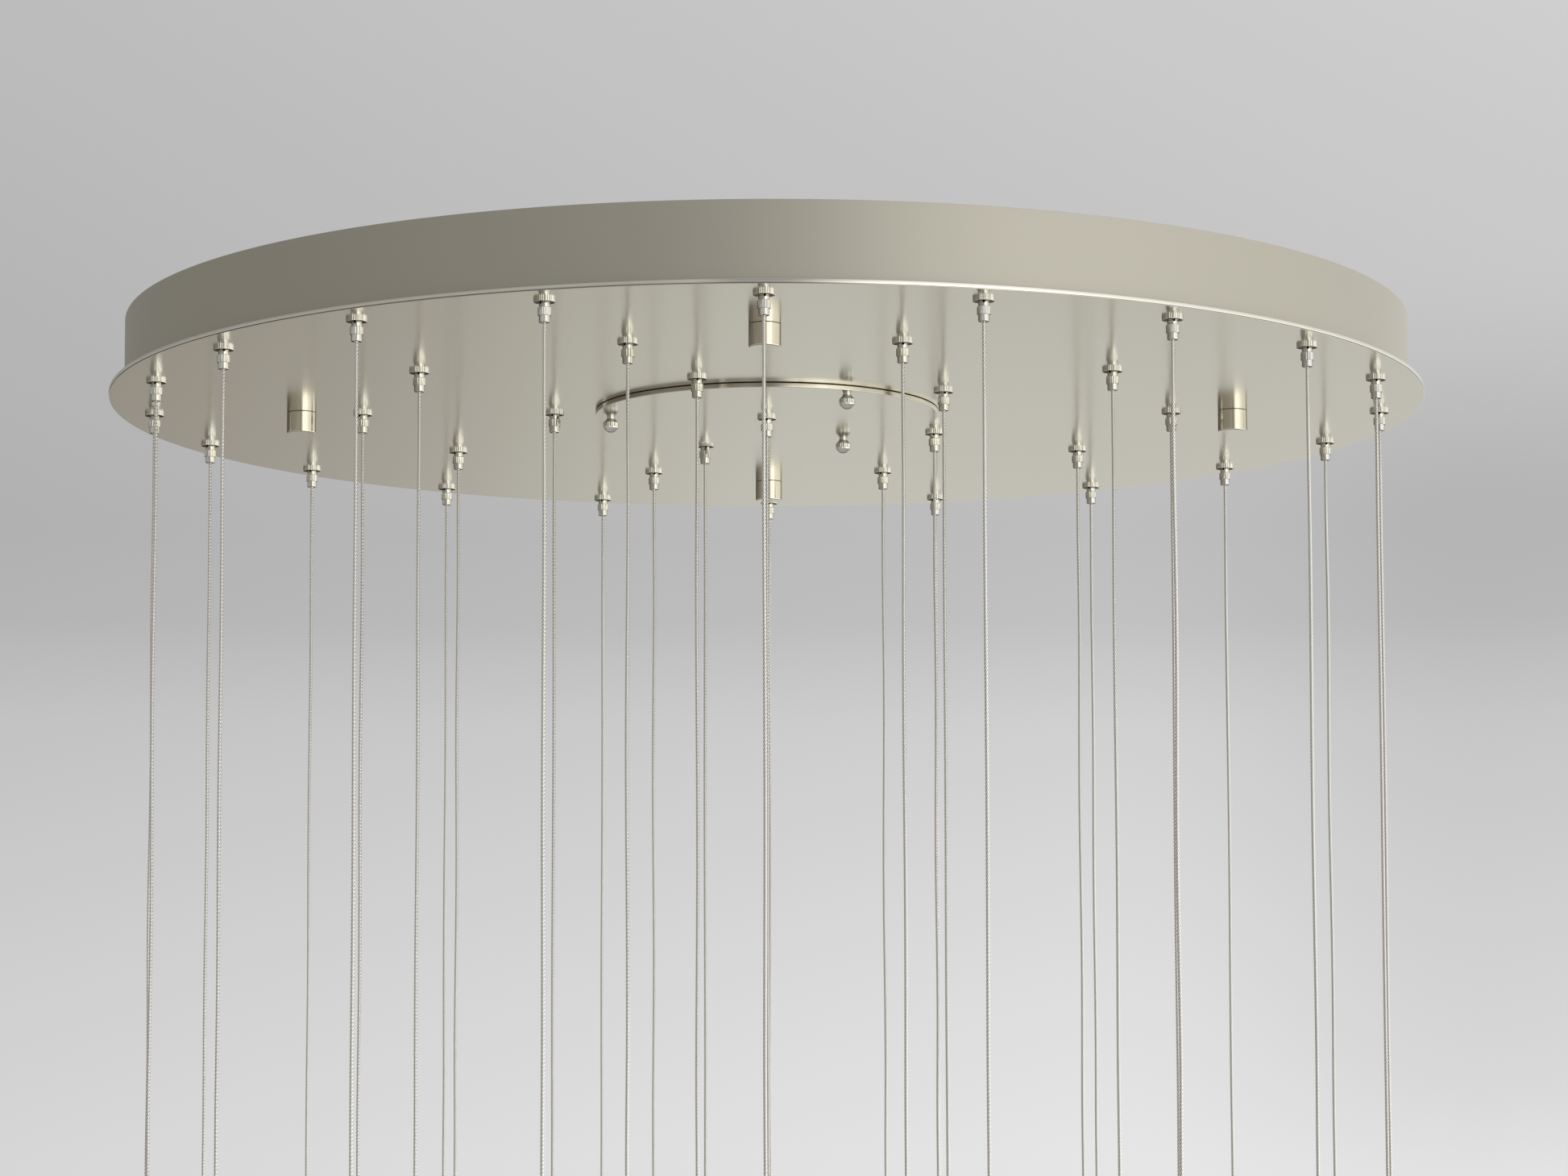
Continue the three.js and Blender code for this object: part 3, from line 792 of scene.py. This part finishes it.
# %% The turned pieces of a grip
def grip_meshes(seat, clamp_top):
    """The meshes of a grip under a seat, with its lock nut on another height."""
    flange_top = seat - TOUCH
    flange_low = seat - FIT_GAP - FLANGE_THICKNESS
    neck_low = flange_low - NECK_LENGTH
    nut_low = neck_low - NUT_LENGTH
    sleeve_low = nut_low - SLEEVE_LENGTH
    lock_top = clamp_top + LOCK_NUT_HEIGHT
    spigot_low = neck_low - SPIGOT_LENGTH
    body = turned([
        (BORE, spigot_low), (SPIGOT_RADIUS, spigot_low), (SPIGOT_RADIUS, neck_low),
        (NECK_RADIUS, neck_low), (NECK_RADIUS, flange_low), (FLANGE_RADIUS, flange_low),
        (FLANGE_RADIUS, flange_top), (SHANK_RADIUS, flange_top), (SHANK_RADIUS, lock_top + SHANK_STAND),
        (BORE, lock_top + SHANK_STAND)], FLANGE_TEETH * COLUMNS_PER_TOOTH)
    soften(body, GRIP_BEVEL, seat=flange_top)
    knurl(body, flange_low, flange_top, FLANGE_RADIUS, GRIP_BEVEL + KNURL_PLAY, TOOTH_DEPTH,
          FLANGE_TEETH * COLUMNS_PER_TOOTH)
    set_height = flange_low - SET_HOLE_DROP
    drill = across_rod(SET_HOLE_RADIUS, NECK_RADIUS - SET_HOLE_DEPTH, NECK_RADIUS + DRILL_OVERRUN,
                       set_height)
    body = drilled(body, drill)
    cavity = NUT_RADIUS - CAVITY_WALL
    cavity_top = spigot_low - FIT_GAP
    nut_top = neck_low - SPIGOT_GAP / 2
    nut = turned([
        (cavity, nut_low), (NUT_RADIUS, nut_low), (NUT_RADIUS, nut_top),
        (SPIGOT_RADIUS + SPIGOT_GAP, nut_top), (SPIGOT_RADIUS + SPIGOT_GAP, cavity_top),
        (cavity, cavity_top)], NUT_FLUTES * COLUMNS_PER_TOOTH)
    soften(nut, GRIP_BEVEL)
    knurl(nut, nut_low + GRIP_BEVEL, nut_top - GRIP_BEVEL, NUT_RADIUS, SPIGOT_GAP / 2, FLUTE_DEPTH,
          NUT_FLUTES * COLUMNS_PER_TOOTH)
    sleeve_top = spigot_low - 2 * FIT_GAP - SLEEVE_TRAVEL
    sleeve = turned([
        (BORE, sleeve_low + BORE_LEAD), (BORE + BORE_LEAD, sleeve_low), (SLEEVE_RADIUS, sleeve_low),
        (SLEEVE_RADIUS, sleeve_top), (BORE, sleeve_top)], SLEEVE_SEGMENTS)
    soften(sleeve, GRIP_BEVEL)
    return {
        "body": to_mesh(body, "grip_body", turned_nickel),
        "nut": to_mesh(nut, "grip_nut", turned_nickel),
        "sleeve": to_mesh(sleeve, "grip_sleeve", turned_nickel),
        "lock_nut": hex_nut("grip_lock_nut", LOCK_NUT_RADIUS, SHANK_RADIUS + LOCK_NUT_PLAY, clamp_top,
                            LOCK_NUT_HEIGHT),
        "set_screw": set_screw_mesh(set_height),
    }


# %% Hexagon nuts
HEX_BEVEL = 0.5
HEX_SIDES = 6


def hex_nut(name, radius, bore, low, height):
    """A six-sided nut with softened corners, which stands on a height."""
    bm = turned([(bore, low), (radius, low), (radius, low + height), (bore, low + height)], HEX_SIDES)
    return to_mesh(soften(bm, HEX_BEVEL), name, zinc_steel)


# %% Place the grips
circle_counts = {"outer_backing_ring": 20, "middle_backing_ring": 10, "inner_backing_ring": 5}
circle_nodes = [node for node, count in circle_counts.items() for _ in range(count)]
ring_grip = grip_meshes(plate_under, ring_top)
centre_grip = grip_meshes(cover_under, cover_top)
centre_nodes = {"body": "centre_grip_body", "nut": "centre_grip_nut", "sleeve": "centre_grip_sleeve",
                "lock_nut": "centre_grip_body", "set_screw": "centre_grip_body"}
TURN_LEAST, TURN_MOST = -0.75, 0.25
turn_source = random.Random(5)
for name in cable_names:
    number = name[-2:]
    at = middle(name)
    turn = -math.pi / 2 + turn_source.uniform(TURN_LEAST, TURN_MOST)
    in_centre = int(number) == CENTRE_CABLE
    for part, mesh in (centre_grip if in_centre else ring_grip).items():
        node = centre_nodes[part] if in_centre else circle_nodes[int(number) - 1]
        body = "canopy"
        if in_centre:
            body = "centre_grip_sleeve" if part == "sleeve" else "access_cover"
        place_piece(mesh, f"grip_{part}_{number}", body,
                    (node,), at, turn)
print("grip faces", {part: len(mesh.polygons) for part, mesh in ring_grip.items()})

# %% [markdown]
# ## Cover plate
# The plate is a flat sheet whose edge is folded into a rim. From below only its underside and the
# narrow outside of the rim show, but the sheet has its real holes too: the hand opening behind the
# access cover and a hole for every grip, rod and screw. The holes are drawn as circles in the flat
# sheet and filled around, which keeps the sheet truly flat, and the rim is spun and welded on. The
# rim leans in a little towards its lower edge, and a groove just above that edge shows where the
# sheet is folded back.

# %% Plate sizes
SHELL_SEGMENTS = 256
PLATE_SHEET = 2.0
RIM_HEIGHT = 4.0
RIM_WIDTH = 8.0
OPENING_RADIUS = 125
SCREW_RADIUS = 2.0
ROD_RADIUS = 5.0
HOLE_SEGMENTS = 24
plate_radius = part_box("cover_plate")[1].x / MM
plate_top = plate_under + PLATE_SHEET
rim_inside = plate_radius - RIM_WIDTH
screw_names = ["thumb_screw_left", "thumb_screw_far", "thumb_screw_near"]
sides = ["right", "near", "left", "far"]
print("plate radius", plate_radius, "underside", plate_under)


# %% A flat sheet with holes
def perforated(bm, outline_radius, outline_segments, holes, height):
    """Fills a circle around its holes. holes are ((x, y) in metres, radius in mm, segments)."""
    edges = []
    for (x, y), radius, segments in [((0, 0), outline_radius, outline_segments)] + holes:
        made = bmesh.ops.create_circle(bm, segments=segments, radius=radius * MM)
        bmesh.ops.translate(bm, verts=made["verts"], vec=(x, y, height * MM))
        edges += list({edge for point in made["verts"] for edge in point.link_edges})
    bmesh.ops.triangle_fill(bm, use_beauty=True, use_dissolve=False, edges=edges)
    return bm


# %% The sheet of the plate
UPRIGHT_MOST = 0.5
EDGE_PLAY = 0.5
plate_holes = [((0, 0), OPENING_RADIUS, SHELL_SEGMENTS // 2)]
plate_holes += [(middle(f"hanger_rod_{side}"), ROD_RADIUS + FIT_GAP, HOLE_SEGMENTS) for side in sides]
plate_holes += [(middle(name), SHANK_RADIUS + FIT_GAP, HOLE_SEGMENTS) for name in cable_names[:-1]]
plate_holes += [(middle(name), SCREW_RADIUS + FIT_GAP, HOLE_SEGMENTS) for name in screw_names]
plate_bm = perforated(bmesh.new(), rim_inside, SHELL_SEGMENTS, plate_holes, plate_under)
thickened(plate_bm, PLATE_SHEET)
outer_wall = [face for face in plate_bm.faces if abs(face.normal.z) < UPRIGHT_MOST
              and face.calc_center_median().xy.length > (rim_inside - EDGE_PLAY) * MM]
bmesh.ops.delete(plate_bm, geom=outer_wall, context="FACES_ONLY")
print("sheet faces", len(plate_bm.faces))

# %% The rim of the plate
RIM_ROUND_LOW = 0.25
RIM_ROUND_HIGH = 0.6
RIM_BACK_STEP = 0.6
RIM_TAPER = 0.45
HEM_HEIGHT = 0.75
HEM_DEPTH = 2.2
rim_top = plate_under + RIM_HEIGHT
hem_low = plate_under + RIM_ROUND_LOW
hem_high = hem_low + HEM_HEIGHT
rim_profile = [(rim_inside, plate_under)]
rim_profile += corner(plate_radius - RIM_TAPER - RIM_ROUND_LOW, plate_under + RIM_ROUND_LOW, RIM_ROUND_LOW,
                      -90, 0)
rim_profile += [
    (plate_radius - HEM_DEPTH, hem_low),
    (plate_radius - HEM_DEPTH, hem_high),
    (plate_radius - RIM_TAPER, hem_high),
]
rim_profile += corner(plate_radius - RIM_ROUND_HIGH, rim_top - RIM_ROUND_HIGH, RIM_ROUND_HIGH, 0, 90)
rim_profile += [
    (rim_inside + RIM_BACK_STEP, rim_top),
    (rim_inside, rim_top - RIM_BACK_STEP),
    (rim_inside, plate_top),
]
rim_bm = turned(rim_profile, SHELL_SEGMENTS, closed=False)
rim_mesh = bpy.data.meshes.new("rim")
rim_bm.to_mesh(rim_mesh)
rim_bm.free()
plate_bm.from_mesh(rim_mesh)
bpy.data.meshes.remove(rim_mesh)
plate_mesh = to_mesh(plate_bm, "cover_plate_sheet", satin_sheet, bright_edge,
                     plate_radius - RIM_TAPER - RIM_ROUND_LOW)
place_piece(plate_mesh, "cover_plate_sheet", "canopy", ("cover_plate",), own=False)
print("plate faces", len(plate_mesh.polygons))

# %% [markdown]
# ## Drum wall
# The wall is rolled from one long strip, with a foot turned in over the plate and a flange against
# the ceiling. It is spun in one piece, with a small bend radius at each fold.

# %% Drum wall
DRUM_WALL = 1.5
DRUM_FOOT_WIDTH = 10
DRUM_FLANGE_WIDTH = 12
DRUM_BEND = 0.5
drum_low, drum_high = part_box("drum_wall")
drum_radius = drum_high.x / MM
drum_foot = drum_low.z / MM
drum_inside = drum_radius - DRUM_WALL
drum_bm = turned([
    (drum_radius - DRUM_FOOT_WIDTH, drum_foot), (drum_radius, drum_foot), (drum_radius, 0),
    (drum_radius - DRUM_FLANGE_WIDTH, 0), (drum_radius - DRUM_FLANGE_WIDTH, -DRUM_WALL),
    (drum_inside, -DRUM_WALL), (drum_inside, drum_foot + DRUM_WALL),
    (drum_radius - DRUM_FOOT_WIDTH, drum_foot + DRUM_WALL)], SHELL_SEGMENTS)
drum_mesh = to_mesh(soften(drum_bm, DRUM_BEND), "drum_skin", satin_wall)
place_piece(drum_mesh, "drum_skin", "canopy", ("drum_wall",), own=False)
print("drum", drum_radius, "by", -drum_foot, "mm,", len(drum_mesh.polygons), "faces")

# %% [markdown]
# ## Access cover
# The round cover hangs under the plate on three short spacers, so a thin dark gap runs all round it.
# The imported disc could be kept. It is turned anew, because its edge is round and polished, and a
# little thicker, which leaves only the narrow gap that the photograph shows.

# %% Access cover
COVER_GAP = 0.5
COVER_ROUND_LOW = 0.35
COVER_ROUND_HIGH = 0.3
COVER_SEGMENTS = 192
# A narrow band beside a round edge keeps the shading of the straight side even.
SUPPORT = 0.25
cover_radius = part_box("access_cover")[1].x / MM
cover_face_top = plate_under - COVER_GAP
cover_hole = SHANK_RADIUS + FIT_GAP
cover_profile = [(cover_hole, cover_under)]
cover_profile += corner(cover_radius - COVER_ROUND_LOW, cover_under + COVER_ROUND_LOW, COVER_ROUND_LOW,
                        -90, 0)
cover_profile.append((cover_radius, cover_under + COVER_ROUND_LOW + SUPPORT))
cover_profile += corner(cover_radius - COVER_ROUND_HIGH, cover_face_top - COVER_ROUND_HIGH, COVER_ROUND_HIGH,
                        0, 90)
cover_profile.append((cover_hole, cover_face_top))
cover_mesh = to_mesh(turned(cover_profile, COVER_SEGMENTS), "access_cover_disc", satin_sheet, bright_edge,
                     cover_radius - COVER_ROUND_LOW)
place_piece(cover_mesh, "access_cover_disc", "access_cover", ("access_cover",), own=False)

# %% Spacers and clinch nuts of the cover
SPACER_RADIUS = 6.0
CLINCH_RADIUS = 5.0
CLINCH_HEIGHT = 4.0
SPACER_SEGMENTS = 32
screw_hole = SCREW_RADIUS + FIT_GAP
spacer_mesh = to_mesh(turned([
    (screw_hole, cover_face_top), (SPACER_RADIUS, cover_face_top), (SPACER_RADIUS, plate_under - TOUCH),
    (screw_hole, plate_under - TOUCH)], SPACER_SEGMENTS), "cover_spacer", zinc_steel)
clinch_bm = turned([
    (screw_hole, plate_top), (CLINCH_RADIUS, plate_top), (CLINCH_RADIUS, plate_top + CLINCH_HEIGHT),
    (screw_hole, plate_top + CLINCH_HEIGHT)], SPACER_SEGMENTS)
clinch_mesh = to_mesh(soften(clinch_bm, GRIP_BEVEL), "clinch_nut", zinc_steel)
for name in screw_names:
    side = name.rsplit("_", 1)[-1]
    place_piece(spacer_mesh, f"cover_spacer_{side}", "access_cover",
                ("access_cover",), middle(name))
    place_piece(clinch_mesh, f"clinch_nut_{side}", "canopy", ("cover_plate",), middle(name))
print("cover radius", cover_radius, "gap", COVER_GAP)

# %% [markdown]
# ## Thumb screws
# Each thumb screw has a ball head that fingers can turn: a narrow neck and a collar, a cone that
# widens to a knurled belt, and a second cone below that ends in a small dome. The belt is knurled as
# the grips are.

# %% Thumb screws
KNOB_TEETH = 30
KNOB_TOOTH_DEPTH = 0.24
KNOB_RADIUS = 7.0
KNOB_BEVEL = 0.2
DOME_HEIGHT = 5.0
BELT_HEIGHT = 4.0
CONE_HEIGHT = 2.8
COLLAR_RADIUS = 3.9
COLLAR_HEIGHT = 0.9
GROOVE_HEIGHT = 0.5
KNOB_NECK_RADIUS = 3.2
THREAD_CHAMFER = 0.5
dome_shares = [(0.0, 1.0), (0.30, 0.96), (0.50, 0.84), (0.93, 0.22)]
screw_low, screw_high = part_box("thumb_screw_left")
knob_low = screw_low.z / MM
thread_top = screw_high.z / MM
neck_top = cover_under - TOUCH
belt_low = knob_low + DOME_HEIGHT
belt_high = belt_low + BELT_HEIGHT
groove_low = belt_high + CONE_HEIGHT
collar_low = groove_low + GROOVE_HEIGHT
knob_profile = [(out * KNOB_RADIUS, belt_low - down * DOME_HEIGHT) for out, down in dome_shares]
knob_profile += [
    (KNOB_RADIUS - KNOB_BEVEL, belt_low), (KNOB_RADIUS, belt_low + KNOB_BEVEL),
    (KNOB_RADIUS, belt_high - KNOB_BEVEL), (KNOB_RADIUS - KNOB_BEVEL, belt_high),
    (COLLAR_RADIUS + KNOB_BEVEL, groove_low), (KNOB_NECK_RADIUS, groove_low + KNOB_BEVEL),
    (KNOB_NECK_RADIUS, collar_low), (COLLAR_RADIUS, collar_low + KNOB_BEVEL),
    (COLLAR_RADIUS, collar_low + COLLAR_HEIGHT), (KNOB_NECK_RADIUS, collar_low + COLLAR_HEIGHT),
    (KNOB_NECK_RADIUS, neck_top), (SCREW_RADIUS, neck_top), (SCREW_RADIUS, thread_top - THREAD_CHAMFER),
    (SCREW_RADIUS - THREAD_CHAMFER, thread_top), (0, thread_top)]
knob_bm = turned(knob_profile, KNOB_TEETH * COLUMNS_PER_TOOTH)
knurl(knob_bm, belt_low, belt_high, KNOB_RADIUS, KNOB_BEVEL + KNURL_PLAY, KNOB_TOOTH_DEPTH,
      KNOB_TEETH * COLUMNS_PER_TOOTH)
knob_mesh = to_mesh(knob_bm, "thumb_screw", turned_nickel)
for name in screw_names:
    place_piece(knob_mesh, f"{name}_knurled", name, (name,), middle(name))
print("thumb screw faces", len(knob_mesh.polygons))

# %% [markdown]
# ## Cap nuts
# Four plain cylinders cover the ends of the hanger rods and clamp the plate. They are turned from
# brass and plated a little warmer than the sheet. The round lower edge carries a line of light. The
# flat bottom takes the sheet's finish, because the turned finish carries painted shade where it is seen
# edge-on.

# %% Cap nuts
CAP_ROUND_LOW = 0.9
CAP_ROUND_HIGH = 0.2
CAP_JOINT = 0.2
BORE_END_PLAY = 1.0
ROD_ENGAGEMENT = 12
CAP_SEGMENTS = 96
cap_low, cap_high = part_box("cap_nut_right")
cap_radius = (cap_high.x - cap_low.x) / 2 / MM
cap_bottom = cap_low.z / MM
cap_top = plate_under - CAP_JOINT
cap_bore = ROD_RADIUS + FIT_GAP
cap_bore_end = plate_under - ROD_ENGAGEMENT - BORE_END_PLAY
cap_profile = [(0, cap_bottom)]
cap_profile += corner(cap_radius - CAP_ROUND_LOW, cap_bottom + CAP_ROUND_LOW, CAP_ROUND_LOW, -90, 0)
cap_profile.append((cap_radius, cap_bottom + CAP_ROUND_LOW + SUPPORT))
cap_profile.append((cap_radius, cap_top - CAP_ROUND_HIGH - SUPPORT))
cap_profile += corner(cap_radius - CAP_ROUND_HIGH, cap_top - CAP_ROUND_HIGH, CAP_ROUND_HIGH, 0, 90)
cap_profile += [(cap_bore, cap_top), (cap_bore, cap_bore_end), (0, cap_bore_end)]
cap_mesh = to_mesh(turned(cap_profile, CAP_SEGMENTS), "cap_nut", satin_sheet, turned_cap, cap_bore)
for side in sides:
    name = f"cap_nut_{side}"
    place_piece(cap_mesh, f"{name}_turned", name, (name,), middle(name))
print("cap nut", round(cap_radius, 2), "by", round(cap_top - cap_bottom, 2))

# %% [markdown]
# ## Backing rings
# Under the lock nuts lie three flat rings of zinc-plated steel, so that the thin sheet doesn't carry
# the pendants alone. They are laser-cut: a flat ring with a round hole for each grip.

# %% Backing rings
RING_WIDTH = 20
RING_THICKNESS = 3
RING_SEGMENTS = 160
ring_under = plate_top + FIT_GAP
for node, count in circle_counts.items():
    names = [name for name, its_node in zip(cable_names, circle_nodes) if its_node == node]
    radius = Vector(middle(names[0])).length / MM
    holes = [((0, 0), radius - RING_WIDTH / 2, RING_SEGMENTS)]
    holes += [(middle(name), SHANK_RADIUS + FIT_GAP, HOLE_SEGMENTS) for name in names]
    ring_bm = perforated(bmesh.new(), radius + RING_WIDTH / 2, RING_SEGMENTS, holes, ring_under)
    ring_mesh = to_mesh(thickened(ring_bm, RING_THICKNESS), f"{node}_flat", zinc_steel)
    place_piece(ring_mesh, f"{node}_flat", "canopy", (node,), own=False)
    print(node, "radius", round(radius, 1), "holes", count)

# %% [markdown]
# ## Hanger rods
# Each rod is a length of threaded bar with a nut under the ceiling cross and a nut on the plate. The
# thread is turned as rings of its real pitch, which look the same as a helix at this size.

# %% Hanger rods
ROD_PITCH = 1.5
ROD_THREAD_DEPTH = 0.7
ROD_NUT_RADIUS = 9.8
ROD_NUT_HEIGHT = 7
ROD_NUT_PLAY = 0.8
CROSS_THICKNESS = 5
rod_low, rod_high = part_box("hanger_rod_right")
rod_bottom = rod_low.z / MM
rod_top = rod_high.z / MM
rod_profile = [(0, rod_bottom), (ROD_RADIUS - ROD_THREAD_DEPTH, rod_bottom)]
for turn in range(int((rod_top - rod_bottom - ROD_PITCH) / ROD_PITCH)):
    crest = rod_bottom + (turn + 0.5) * ROD_PITCH
    rod_profile += [(ROD_RADIUS, crest), (ROD_RADIUS - ROD_THREAD_DEPTH, crest + ROD_PITCH / 2)]
rod_profile += [(ROD_RADIUS - ROD_THREAD_DEPTH, rod_top), (0, rod_top)]
rod_mesh = to_mesh(turned(rod_profile, HOLE_SEGMENTS), "hanger_rod", zinc_steel)
nut_bore = ROD_RADIUS + ROD_NUT_PLAY
upper_nut_low = -CROSS_THICKNESS - FIT_GAP - ROD_NUT_HEIGHT
upper_nut = hex_nut("upper_nut", ROD_NUT_RADIUS, nut_bore, upper_nut_low, ROD_NUT_HEIGHT)
lower_nut = hex_nut("lower_nut", ROD_NUT_RADIUS, nut_bore, plate_top + FIT_GAP, ROD_NUT_HEIGHT)
for side in sides:
    node = f"hanger_rod_{side}"
    for part, mesh in (("threaded", rod_mesh), ("upper_nut", upper_nut), ("lower_nut", lower_nut)):
        place_piece(mesh, f"{node}_{part}", "canopy", (node,), middle(node))
print("rod from", rod_bottom, "to", rod_top)

# %% [markdown]
# ## Ceiling cross
# The cross is plasma-cut from 5 mm steel and zinc plated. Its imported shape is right, so it keeps its
# node and takes the better material.

# %% Ceiling cross
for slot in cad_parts["ceiling_cross"].material_slots:
    slot.material = zinc_steel
print("ceiling cross keeps its node")

# %% [markdown]
# ## Drivers
# Two drivers feed the lamps. Each is an extruded aluminium case with long grooves, closed by two
# plastic end caps and screwed down through a base plate that stands out as an ear at both ends. The
# case starts as a box that is cut into strips, and every second strip is sunk.

# %% Boxes and pan-head screws
BOX_BEVEL = 0.5
SCREW_SEGMENTS = 24
CROWN_SHARE = 0.8
SOCKET_SHARE = 0.4
SOCKET_FLOOR_SHARE = 0.35


def block(size, at, low):
    """A box of a size in mm, centred on (x, y) in metres, which stands on a height."""
    bm = bmesh.new()
    bmesh.ops.create_cube(bm, size=1.0)
    bmesh.ops.scale(bm, vec=[side * MM for side in size], verts=bm.verts)
    bmesh.ops.translate(bm, vec=(at[0], at[1], (low + size[2] / 2) * MM), verts=bm.verts)
    return bm


def cut_across(bm, axis, places):
    """Cuts a shape through at places along an axis, in metres, without parting it."""
    for place in places:
        normal = Vector((axis == "X", axis == "Y", axis == "Z"))
        bmesh.ops.bisect_plane(bm, geom=bm.verts[:] + bm.edges[:] + bm.faces[:], dist=WELD,
                               plane_co=normal * place, plane_no=normal)
    return bm


def pan_head(name, radius, height, low, finish):
    """A domed screw head with a round socket, standing on a height on the axis."""
    socket_low = low + height / 3
    profile = [
        (0, low), (radius, low), (radius, low + height / 2), (radius * CROWN_SHARE, low + height),
        (radius * SOCKET_SHARE, low + height), (radius * SOCKET_FLOOR_SHARE, socket_low), (0, socket_low)]
    return to_mesh(soften(turned(profile, SCREW_SEGMENTS), GRIP_BEVEL / 2), name, finish)


# %% Drivers
EAR_LENGTH = 15
EAR_THICKNESS = 2
END_CAP_LENGTH = 10
CASE_INSET = 0.8
CASE_GROOVES = 6
GROOVE_DEPTH = 1.0
GROOVE_END = 0.8
WINDOW_WALL = 5
WINDOW_DEPTH = 3
EAR_SCREW_RADIUS = 3.6
EAR_SCREW_HEIGHT = 2.2

for node in ("driver_far", "driver_near"):
    low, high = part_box(node)
    at = middle(node)
    length, width, height = [(b - a) / MM for a, b in zip(low, high)]
    base_low = low.z / MM
    case_low = base_low + EAR_THICKNESS
    case_length = length - 2 * EAR_LENGTH - 2 * END_CAP_LENGTH
    case_width = width - 2 * CASE_INSET
    base = soften(block((length, width, EAR_THICKNESS), at, base_low), GRIP_BEVEL)
    place_piece(to_mesh(base, "base", zinc_steel), f"{node}_base", "canopy", (node,),
                own=False)

    case = block((case_length, case_width, height - EAR_THICKNESS - CASE_INSET), at, case_low)
    strips = 2 * CASE_GROOVES + 1
    strip = case_width / strips
    cut_across(case, "Y", [at[1] + (i * strip - case_width / 2) * MM for i in range(1, strips)])
    grooves = [face for face in case.faces if face.normal.z > FLAT
               and int((face.calc_center_median().y - at[1] + case_width / 2 * MM) / (strip * MM)) % 2]
    bmesh.ops.inset_individual(case, faces=grooves, thickness=GROOVE_END * MM, depth=-GROOVE_DEPTH * MM)
    place_piece(to_mesh(soften(case, GRIP_BEVEL), "case", driver_case), f"{node}_case", "canopy",
                (node,), own=False)

    screw = pan_head("ear_screw", EAR_SCREW_RADIUS, EAR_SCREW_HEIGHT, case_low, zinc_steel)
    for side, way in (("left", -1), ("right", 1)):
        cap_x = at[0] + way * (case_length + END_CAP_LENGTH) / 2 * MM
        cap = block((END_CAP_LENGTH, width, height - EAR_THICKNESS), (cap_x, at[1]), case_low)
        window = max(cap.faces, key=lambda face: face.normal.x * way)
        bmesh.ops.inset_region(cap, faces=[window], thickness=WINDOW_WALL * MM)
        bmesh.ops.inset_region(cap, faces=[window], thickness=GRIP_BEVEL * MM, depth=-WINDOW_DEPTH * MM)
        place_piece(to_mesh(soften(cap, BOX_BEVEL), "end_cap", end_cap_plastic), f"{node}_end_cap_{side}",
                    "canopy", (node,), own=False)
        screw_x = at[0] + way * (length - EAR_LENGTH) / 2 * MM
        place_piece(screw, f"{node}_screw_{side}", "canopy", (node,), (screw_x, at[1]))
print("driver", round(length), round(width), round(height))

# %% [markdown]
# ## Terminal block
# The supply is joined here: a moulded bar with six ways. Each way rises from the bar, has a funnel
# for the wire at both sides and two brass screws on top.

# %% Terminal block
WAYS = 6
WAY_GAP_SHARE = 0.3
FUNNEL_WALL = 1.6
FUNNEL_DEPTH = 2.2
TERMINAL_SCREW_RADIUS = 2.7
TERMINAL_SCREW_HEIGHT = 1.4
low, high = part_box("terminal_block")
at = middle("terminal_block")
length, width, height = [(b - a) / MM for a, b in zip(low, high)]
bar_height = height / 2
pitch = length / WAYS
bar = block((length, width, bar_height), at, low.z / MM)
way_edges = []
for way in range(1, WAYS):
    between = way * pitch - length / 2
    way_edges += [between - pitch * WAY_GAP_SHARE / 2, between + pitch * WAY_GAP_SHARE / 2]
cut_across(bar, "X", [at[0] + edge * MM for edge in way_edges])
tops = [face for face in bar.faces if face.normal.z > FLAT
        and max(v.co.x for v in face.verts) - min(v.co.x for v in face.verts) > pitch * MM / 2]
risen = bmesh.ops.extrude_discrete_faces(bar, faces=tops)["faces"]
rise = height - bar_height - TERMINAL_SCREW_HEIGHT
bmesh.ops.translate(bar, verts=list({v for face in risen for v in face.verts}), vec=(0, 0, rise * MM))
bar.normal_update()
funnels = [face for face in bar.faces if abs(face.normal.y) > FLAT
           and face.calc_center_median().z > low.z + bar_height * MM]
bmesh.ops.inset_individual(bar, faces=funnels, thickness=FUNNEL_WALL * MM, depth=-FUNNEL_DEPTH * MM)
place_piece(to_mesh(soften(bar, GRIP_BEVEL), "terminal_bar", terminal_plastic), "terminal_block_bar",
            "canopy", ("terminal_block",), own=False)

screws_bm = bmesh.new()
screw_low = high.z / MM - TERMINAL_SCREW_HEIGHT
screw = pan_head("terminal_screw", TERMINAL_SCREW_RADIUS, TERMINAL_SCREW_HEIGHT, screw_low, plain_brass)
for way in range(WAYS):
    for side in (-1, 1):
        place = (at[0] + ((way + 0.5) * pitch - length / 2) * MM, at[1] + side * width / 4 * MM, 0)
        there = screw.copy()
        there.transform(Matrix.Translation(place))
        screws_bm.from_mesh(there)
        bpy.data.meshes.remove(there)
place_piece(to_mesh(screws_bm, "terminal_screws", plain_brass), "terminal_block_screws", "canopy",
            ("terminal_block",), own=False)
print("terminal block", round(length), round(width), round(height), "ways", WAYS)
